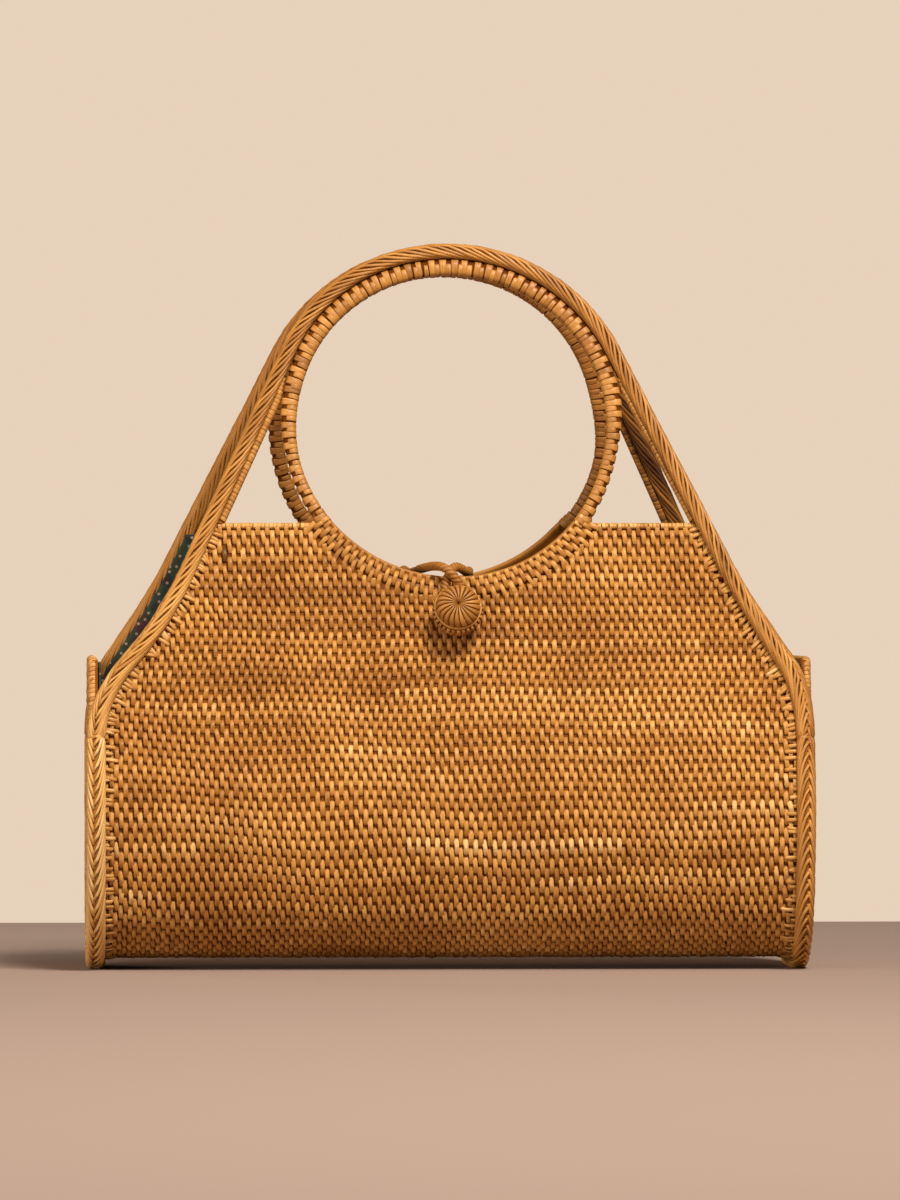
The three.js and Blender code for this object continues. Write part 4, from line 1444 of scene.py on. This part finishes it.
def panel_half(z):
    """Half the panel's depth at a height."""
    return np.interp(z, panel_z, panel_y)


def panel_heights(top, count):
    """Heights of the rows of an end piece, which lie closer in the round of the corner."""
    bend = panel_z[panel_z < PANEL_BEND][::BEND_SKIP]
    return np.concatenate([bend, np.linspace(PANEL_BEND, top, count)])


def panel_place(hand):
    """Placing function of an end panel: y, height, and out of the panel's face."""

    def place(y, z, out):
        y, z, out = np.broadcast_arrays(y, z, out)
        return np.stack([hand * (PANEL_X - WALL / 2 + out), -hand * y, z], axis=-1)

    return place


print("the end panels are", round(2 * panel_y.max()), "mm deep")

# %% Wrapped edges of the end panels
PANEL_ROUND = 5.0
PANEL_WRAP_START = 104.0
PANEL_WRAP_RADIUS = 2.0
PANEL_WRAP_STEP = 2.0
PANEL_WRAP_FIRST = 0.5
PANEL_WRAP_SLANT = 0.6
PANEL_WRAP_ANGLES = (-105, 105)
PANEL_WRAP_SHADE = 0.06
PANEL_WRAP = {"width": 1.95, "thick": 0.25}


def panel_edge(hand):
    """Placing function of the wrapped free edge: length from the front's foot up, over the top
    and down the back, angle over the edge, and lift."""
    side_top = PANEL_TOP - PANEL_ROUND
    z = np.linspace(PANEL_WRAP_START, side_top, 40)
    turn = np.linspace(0, np.pi / 2, 12)[1:]
    corner = panel_half(side_top) - PANEL_ROUND
    half_y = np.concatenate([panel_half(z), corner + PANEL_ROUND * np.cos(turn)])
    half_z = np.concatenate([z, side_top + PANEL_ROUND * np.sin(turn)])
    line = np.column_stack([np.append(half_y, -half_y[::-1]), np.append(half_z, half_z[::-1])])
    length = lengths_along(line)
    way = unit(np.gradient(line, axis=0))

    def place(run, angle, lift):
        y, z, way_y, way_z = (np.interp(run, length, v) for v in (*line.T, *way.T))
        inward = PANEL_WRAP_RADIUS - (PANEL_WRAP_RADIUS + lift) * np.cos(angle)
        x = PANEL_X - PANEL_WRAP_RADIUS + (PANEL_WRAP_RADIUS + lift) * np.sin(angle)
        return np.stack([hand * x, -hand * (y - way_z * inward), z + way_y * inward], axis=-1)

    return place, length[-1]


def panel_wraps(hand, tone_seed, seed):
    """Wraps over the free edge."""
    place, length = panel_edge(hand)
    begin = np.arange(PANEL_WRAP_FIRST, length, PANEL_WRAP_STEP)
    strand = {**PANEL_WRAP, "tone": edge_tones(len(begin), tone_seed) - PANEL_WRAP_SHADE}
    return lay_turns(place, begin, PANEL_WRAP_SLANT, PANEL_WRAP_ANGLES, **strand, seed=seed)


print("free edge of an end panel:", round(panel_edge(1)[1]), "mm")

# %% Woven ends
PANEL_ROW = 4.1
PANEL_FOOT = 2.0  # from the outline to the first and the last row
PANEL_EDGE = 1.0
PANEL_SHIFT = -0.03
PANEL_THICK = 2.6
PANEL_SHEET_TOP = PANEL_TOP - 1.5
PANEL_SHEET_GRID = (16, 13)


def panel_part(hand, seed):
    """Stitches on the outer face, and wraps over the free edge."""
    creases = np.arange(panel_z[0] + PANEL_FOOT, PANEL_TOP - PANEL_FOOT, PANEL_ROW)
    row, stitch, y, z = brick(creases, panel_y.max(), seed)
    tone = strand_tones(row, stitch, seed + 1, PANEL_SHIFT)
    keep = (np.abs(y) < panel_half(z) - PANEL_EDGE) & (z < PANEL_TOP - PANEL_ROW)
    y, z, tone = (values[keep] for values in (y, z, tone))
    room = 2 * PANEL_ROW
    face = stitch_part(panel_place(hand), y, z, 1.0, PANEL_ROW, room, tone, seed + 2)
    return gather([face, panel_wraps(hand, seed + 3, seed + 4)])


def panel_sheet(hand):
    """The sheet behind the stitches, over the panel's outline, painted dark as the shade in the
    slots.
    """
    rows, columns = PANEL_SHEET_GRID
    z = column(panel_heights(PANEL_SHEET_TOP, rows))
    y = panel_half(z) * np.linspace(-1, 1, columns)
    return sheet_part(panel_place(hand), y, z, SHEET_OUT, *SHEET_LOOK)


for seed, (end, hand) in zip((161, 171), HANDS.items()):
    put_piece(f"end_weave_{end}", panel_part(hand, seed), WEAVE)
    sheet = panel_sheet(hand)
    panel = put_piece(f"end_sheet_{end}", sheet, WEAVE, f"end_panel_{end}")
    close_sheet(panel, PANEL_THICK)

# %% [markdown]
# ## Lining
# A pouch of dark printed cotton hangs inside, sewn in a little below the edges. It shows beside
# the slanted shoulder and from above. The cloth is cut like the walls, so it is the same flat
# sheet folded up further in, with two end pieces, and it puckers slightly where it is slack.

# %% Cloth finish
CLOTH_GROUNDS = [
    (0.0, (0.006, 0.005, 0.005)),
    (0.40, (0.012, 0.010, 0.008)),
    (0.47, (0.016, 0.040, 0.018)),
    (0.56, (0.012, 0.028, 0.012)),
    (0.62, (0.055, 0.009, 0.013)),
    (0.75, (0.035, 0.006, 0.010)),
]
CLOTH_PATCHES = (0.2, 1.5)  # scale and detail
CLOTH_THREADS = (3.5, 1.0)
CLOTH_RELIEF = (0.4, 0.0002)  # strength, and height in metres
CLOTH_SURFACE = {"Roughness": 0.88, "Sheen Weight": 0.15}
DOT_SPACING = 2.3
DOT_SIZE = (0.10, 0.18)
DOT_SCATTER = 0.55
DOT_COLOUR = (0.30, 0.21, 0.15, 1)


def cloth_finish():
    """Uneven patches of dark green, maroon and black, with a scatter of small pale dots."""
    finish, tree, shader = new_finish("printed_cotton")
    cloth = read_mark(tree, "strand", "Vector")
    ground = add_ramp(tree, add_noise(tree, cloth, *CLOTH_PATCHES), CLOTH_GROUNDS)
    scatter = {"Vector": cloth, "Scale": 1 / DOT_SPACING, "Randomness": DOT_SCATTER}
    cells = add_node(tree, "ShaderNodeTexVoronoi", scatter, voronoi_dimensions="2D")
    edges = {"From Min": DOT_SIZE[1], "From Max": DOT_SIZE[0], "Value": cells.outputs["Distance"]}
    dots = add_node(tree, "ShaderNodeMapRange", edges).outputs["Result"]
    layers = {"Factor": dots, "A": ground, "B": DOT_COLOUR}
    printed = add_node(tree, "ShaderNodeMix", layers, data_type="RGBA").outputs["Result"]
    relief = add_relief(tree, add_noise(tree, cloth, *CLOTH_THREADS), *CLOTH_RELIEF)
    feed(tree, shader, {"Base Color": printed, "Normal": relief, **CLOTH_SURFACE})
    return finish


CLOTH = cloth_finish()
print("cloth grounds:", len(CLOTH_GROUNDS))

# %% Cloth pouch
CLOTH_THICK = 0.8
CLOTH_OUT = -3.0
CLOTH_TOP = 104.0
CLOTH_INSET = 1.8
CLOTH_RIM = 2.6
CLOTH_COLUMNS = 40
CLOTH_END_X = 159.9
CLOTH_END_TOP = 140.0
CLOTH_END_GRID = (30, 31)
CLOTH_END_INSET = 0.2
CLOTH_LOOK = (0.0, 1.0)  # tone and crest, which the cloth doesn't use
PUCKER = 0.45
END_PUCKERS = (3, 3)  # how much finer than the weave's waves
WALL_PUCKERS = (2.5, 4)


def end_cloth(hand):
    """An end piece: the panel's outline a little further in, with slight puckers."""
    rows, columns = CLOTH_END_GRID
    z = column(panel_heights(CLOTH_END_TOP, rows)) + CLOTH_END_INSET
    half = panel_half(z - CLOTH_END_INSET) - CLOTH_END_INSET

    def place(y, z, out):
        swell = np.abs(waves(END_PUCKERS[0] * y, END_PUCKERS[1] * z, PUCKER, seed=191))
        return np.stack([hand * (CLOTH_END_X + out - swell), y, z], axis=-1)

    return sheet_part(place, half * np.linspace(-1, 1, columns), z, 0.0, *CLOTH_LOOK)


def puckered(part):
    """Moves the cloth's points a little towards the middle of the bag."""
    points = part["points"].copy()
    x, y, z = points.T
    swell = np.abs(waves(WALL_PUCKERS[0] * x, WALL_PUCKERS[1] * z, PUCKER, seed=193))
    points[:, 1] = y - np.sign(y) * swell
    return {**part, "points": points}


cloth_edge = edge_line(CLOTH_RIM)


def cloth_half(height):
    """Half width of the cloth: it follows the rim and ends at the end pieces."""
    return np.minimum(cloth_edge(height), CLOTH_END_X)


cloth_radius = RING_RADIUS + GAP + CLOTH_INSET
cloth_walls = wall_parts(
    CLOTH_OUT, cloth_half, cloth_radius, CLOTH_TOP, CLOTH_COLUMNS, CLOTH_LOOK
)
pouch = [puckered(part) for part in cloth_walls] + [end_cloth(hand) for hand in HANDS.values()]
lining = put_piece("lining_cloth", gather(pouch), CLOTH, "lining")
close_sheet(lining, CLOTH_THICK)

# %% [markdown]
# ## Toggle
# The toggle is a knob wound from strands. They run from a dimple in the middle, painted dark as
# shade, over the domed face to the rim, a smooth strand lies round below them, and a row of
# small stitches binds the knob's base. The knob stands on a wound neck, square to the leaning
# wall, and its axis tips up a little, so its lower side shows. A placing function about that
# axis takes all of its strands.

# %% Place on the toggle
TOGGLE_BACK = 9.6
TOGGLE_TILT = math.radians(9)
TILT_START = 3.0
TILT_PIVOT = 5.0
KNOB_RADII = np.array([0.35, 1.4, 3.2, 6.4, 8.8, 9.8, 9.9, 9.5])
KNOB_OUT = np.array([8.2, 9.0, 9.2, 8.9, 7.6, 5.7, 4.4, 3.6])
KNOB_STATIONS = np.linspace(0, 1, len(KNOB_RADII))
PROFILE_STEP = 0.02


def on_toggle(radius, turn, out):
    """A point about the toggle's axis, which stands square to the front wall and tips upwards
    from the neck on: up and out are turned about a pivot on the neck."""
    tilt = TOGGLE_TILT * smooth_step(out, TILT_START, TOGGLE_BACK)
    rise = radius * np.sin(turn)
    reach = out - TILT_PIVOT
    up = TOGGLE_UP + rise * np.cos(tilt) + reach * np.sin(tilt)
    placed_out = TILT_PIVOT + reach * np.cos(tilt) - rise * np.sin(tilt)
    placed = on_sheet(0.0, LEAN_START + up, placed_out)
    placed[..., 0] = TOGGLE_X + radius * np.cos(turn)
    return placed


def knob_profile(share):
    """Radius and height of the knob at a share of the way from the dimple to the underside."""
    return np.array([np.interp(share, KNOB_STATIONS, v) for v in (KNOB_RADII, KNOB_OUT)])


def knob_place(turn, share, lift):
    """Placing function of the knob's face: turn about its axis, share of its profile, and lift
    square to the profile."""
    radius, out = knob_profile(share)
    wider, higher = knob_profile(share + PROFILE_STEP) - knob_profile(share - PROFILE_STEP)
    size = np.maximum(np.hypot(wider, higher), 1e-6)
    return on_toggle(radius - lift * higher / size, turn, TOGGLE_BACK + out + lift * wider / size)


print("the knob is", 2 * KNOB_RADII.max(), "mm across")

# %% Wound knob
KNOB_STRANDS = 21
KNOB_SHARES = np.linspace(0, 1, 10)
KNOB_SWIRL = 0.3
SWIRL_POWER = 1.5
KNOB_FILL = 0.98  # of the room round the knob
LEAST_STRAND = 0.35
KNOB_THICK = 0.75
KNOB_LIFT = np.interp(KNOB_SHARES, [0, 0.2, 0.9, 1], [-0.9, -0.25, -0.3, -0.6])
# painted shade: the knob's strands are painted darkest in the dimple and darker at the underside
KNOB_CREST = np.interp(KNOB_SHARES, [0, 0.2, 0.85, 1], [0.15, 0.95, 1.0, 0.4])
KNOB_TONE = 0.14
KNOB_TONE_SPREADS = (0.1, 0.12)  # face and base
KNOB_TONE_LIMITS = (0.15, 0.8)
BASE_STITCHES = 32
BASE_ANGLES = np.radians(np.linspace(-120, 95, len(TURN_STATIONS)))
BASE_RADIUS = 9.4
BASE_OUT = 1.5
BASE_HALF = (1.2, 1.5)
BASE_DROP = 1.5  # how far the base stands out further below
BASE_STITCH = {"width": 1.75, "thick": 0.4}
BASE_LIFT = TURN_LIFT * 0.5


def base_place(turn, angle, lift):
    """Placing function of the knob's base: turn about the axis, angle round its edge, lift. It
    is widest below."""
    below = (1 - np.sin(turn)) / 2
    radius = BASE_RADIUS + below * BASE_DROP + (BASE_HALF[0] + lift) * np.cos(angle)
    return on_toggle(radius, turn, TOGGLE_BACK + BASE_OUT + (BASE_HALF[1] + lift) * np.sin(angle))


def knob_parts(rng):
    """Strands over the knob's face, and the stitches of its base."""
    face_tone, base_tone = (
        np.clip(rng.normal(KNOB_TONE, spread, count), *KNOB_TONE_LIMITS)
        for spread, count in zip(KNOB_TONE_SPREADS, (KNOB_STRANDS, BASE_STITCHES))
    )
    turn = column(np.arange(KNOB_STRANDS)) * 2 * np.pi / KNOB_STRANDS
    room = knob_profile(KNOB_SHARES)[0] * 2 * np.pi / KNOB_STRANDS
    face = lay_strands(
        knob_place,
        turn + KNOB_SWIRL * KNOB_SHARES**SWIRL_POWER,
        KNOB_SHARES,
        KNOB_LIFT,
        width=np.maximum(room * KNOB_FILL, LEAST_STRAND),
        thick=KNOB_THICK,
        tone=face_tone,
        crest=KNOB_CREST,
        seed=202,
    )
    turn = column(np.arange(BASE_STITCHES)) * 2 * np.pi / BASE_STITCHES
    look = {**BASE_STITCH, "tone": base_tone, "crest": TURN_CREST}
    return [face, lay_strands(base_place, turn, BASE_ANGLES, BASE_LIFT, **look, seed=203)]


face_and_base = knob_parts(np.random.default_rng(201))
print("strands on the knob's face:", KNOB_STRANDS, "and stitches on its base:", BASE_STITCHES)

# %% Neck and core of the toggle
# radius, distance out, half thickness and tone of smooth strands round the axis
RIM_STRAND = (10.2, TOGGLE_BACK + 3.3, 0.7, 0.5)
NECK_STRAND = (5.0, 2.6, 0.7, 0.36)
NECK_TURNS = 6
NECK_STEP = 1.3
SMOOTH_GRID = (48, 10)
SMOOTH_CREST = 0.9
CORE_UNDER = 0.45  # the core under the face's strands
CORE_TIP = 0.05
# radius and distance out of the core behind the face, from the flange to the wall
CORE_BACK = [(9.3, 12.2), (9.3, 10.4), (5.0, 10.0), (4.6, 9.8), (4.6, 2.0), (CORE_TIP, 1.9)]
KNOB_CORE_SIDES = 40
# painted shade: the core is painted dark where it shows between the strands
KNOB_CORE_LOOK = (0.25, 0.2)  # tone and crest


def smooth_strand(radius, out, thick, tone):
    """A smooth strand round the toggle's axis, as a thin ring."""
    turns, sides = SMOOTH_GRID
    angle = round_angles(sides)
    wide = radius + thick * np.cos(angle)
    points = on_toggle(wide, column(round_angles(turns)), out + thick * np.sin(angle))
    return tube_part(points, True, tone, SMOOTH_CREST)


def knob_core():
    """The body under the strands, painted dark as shade: the knob's profile turned about the axis.
    """
    back_radius, back_out = np.array(CORE_BACK).T
    radius = np.concatenate([KNOB_RADII - CORE_UNDER, back_radius])
    radius[0] = CORE_TIP
    out = np.concatenate([TOGGLE_BACK + KNOB_OUT - CORE_UNDER, back_out])
    points = on_toggle(column(radius), round_angles(KNOB_CORE_SIDES), column(out))
    return tube_part(points, False, *KNOB_CORE_LOOK)


neck_radius, neck_out, neck_thick, neck_tone = NECK_STRAND
neck = [
    smooth_strand(neck_radius, neck_out + turn * NECK_STEP, neck_thick, neck_tone)
    for turn in range(NECK_TURNS)
]
toggle = gather([*face_and_base, smooth_strand(*RIM_STRAND), *neck, knob_core()])
put_piece("toggle_knob", toggle, WEAVE, "toggle_button")

# %% [markdown]
# ## Floor and light
# The bag stands on a plain pale floor. Soft light comes from the front, high on the right, with
# a wide weak light from the left and pale light all round, so the creases of the weave stay
# dark while the strands catch small highlights. A low light behind, which gives no gloss, keeps
# the back of the bag readable.

# %% Floor
FLOOR_HALF = 2.6  # metres, like the other lengths here
FLOOR_BACK = 0.62
FLOOR_FRONT = -2.4
FLOOR_EDGE = 0.06
FLOOR_BEND = 0.01  # the level part ends this much before the round
FLOOR_ROUND = np.linspace(0, np.pi / 2, 16)
FLOOR_SURFACE = {"Base Color": (0.333, 0.237, 0.188, 1), "Roughness": 0.8}


def floor_points():
    """A level top whose back edge turns down in a quarter round."""
    back = FLOOR_BACK + FLOOR_EDGE * np.sin(FLOOR_ROUND)
    y = np.concatenate([[FLOOR_FRONT, FLOOR_BACK - FLOOR_BEND], back])
    z = np.concatenate([[0.0, 0.0], FLOOR_EDGE * (np.cos(FLOOR_ROUND) - 1)])
    x = np.array([-FLOOR_HALF, FLOOR_HALF])
    return np.stack(np.broadcast_arrays(x, column(y), column(z)), axis=-1)


corners = floor_points()
floor_mesh = bpy.data.meshes.new("floor")
floor_faces = grid_faces(*corners.shape[:2])
floor_mesh.from_pydata(corners.reshape(-1, 3).tolist(), [], floor_faces.tolist())
floor_mesh.polygons.foreach_set("use_smooth", np.ones(len(floor_mesh.polygons), dtype=bool))
floor = bpy.data.objects.new("floor", floor_mesh)
bpy.context.scene.collection.objects.link(floor)
paint, paint_tree, paint_shader = new_finish("pale_floor")
feed(paint_tree, paint_shader, FLOOR_SURFACE)
floor_mesh.materials.append(paint)
print("floor reaches", FLOOR_BACK, "m behind the bag")

# %% Light
LIGHT_TARGET = Vector((0, 0, 0.15))
# place, size, power and colour of each soft light
LIGHTS = {
    "key_light": ((0.7, -1.7, 2.25), 0.8, 98.0, (1.0, 0.93, 0.84)),
    "fill_light": ((-2.2, -2.0, 0.9), 2.0, 43.0, (1.0, 0.92, 0.83)),
    "back_light": ((-1.7, 2.2, 0.26), 0.48, 48.0, (1.0, 0.93, 0.85)),
    "top_light": ((0.3, -0.7, 2.2), 1.0, 10.0, (1.0, 0.95, 0.9)),
}

for name, (place, size, power, colour) in LIGHTS.items():
    lamp = bpy.data.lights.new(name, "AREA")
    lamp.size = size
    lamp.energy = power
    lamp.color = colour
    holder = bpy.data.objects.new(name, lamp)
    bpy.context.scene.collection.objects.link(holder)
    holder.location = place
    aim = LIGHT_TARGET - Vector(place)
    holder.rotation_euler = aim.to_track_quat("-Z", "Y").to_euler()
    holder.visible_camera = False
    holder.visible_glossy = name != "back_light"
print("lights:", list(LIGHTS))

# %% Light all round
BACKDROP_COLOUR = (0.80, 0.64, 0.50, 1)
BACKDROP_LIGHT = 0.13  # what it lights with, though it is seen at full strength

backdrop = bpy.data.worlds.new("pale_backdrop")
backdrop.use_nodes = True
bpy.context.scene.world = backdrop
tree = backdrop.node_tree
seen = tree.nodes["Background"]
feed(tree, seen, {"Color": BACKDROP_COLOUR})
lit = add_node(tree, "ShaderNodeBackground", {"Color": BACKDROP_COLOUR, "Strength": BACKDROP_LIGHT})
ray = add_node(tree, "ShaderNodeLightPath", {})
camera_sees = {
    "Fac": ray.outputs["Is Camera Ray"],
    1: lit.outputs["Background"],
    2: seen.outputs["Background"],
}
either = add_node(tree, "ShaderNodeMixShader", camera_sees)
feed(tree, tree.nodes["World Output"], {"Surface": either.outputs["Shader"]})
bpy.context.scene.view_settings.view_transform = "Standard"
print("the backdrop lights with", BACKDROP_LIGHT, "of its brightness")

# %% [markdown]
# ## Size
# The strands may stand a little proud of the solids, and no more.

# %% Update
bpy.context.view_layer.update()
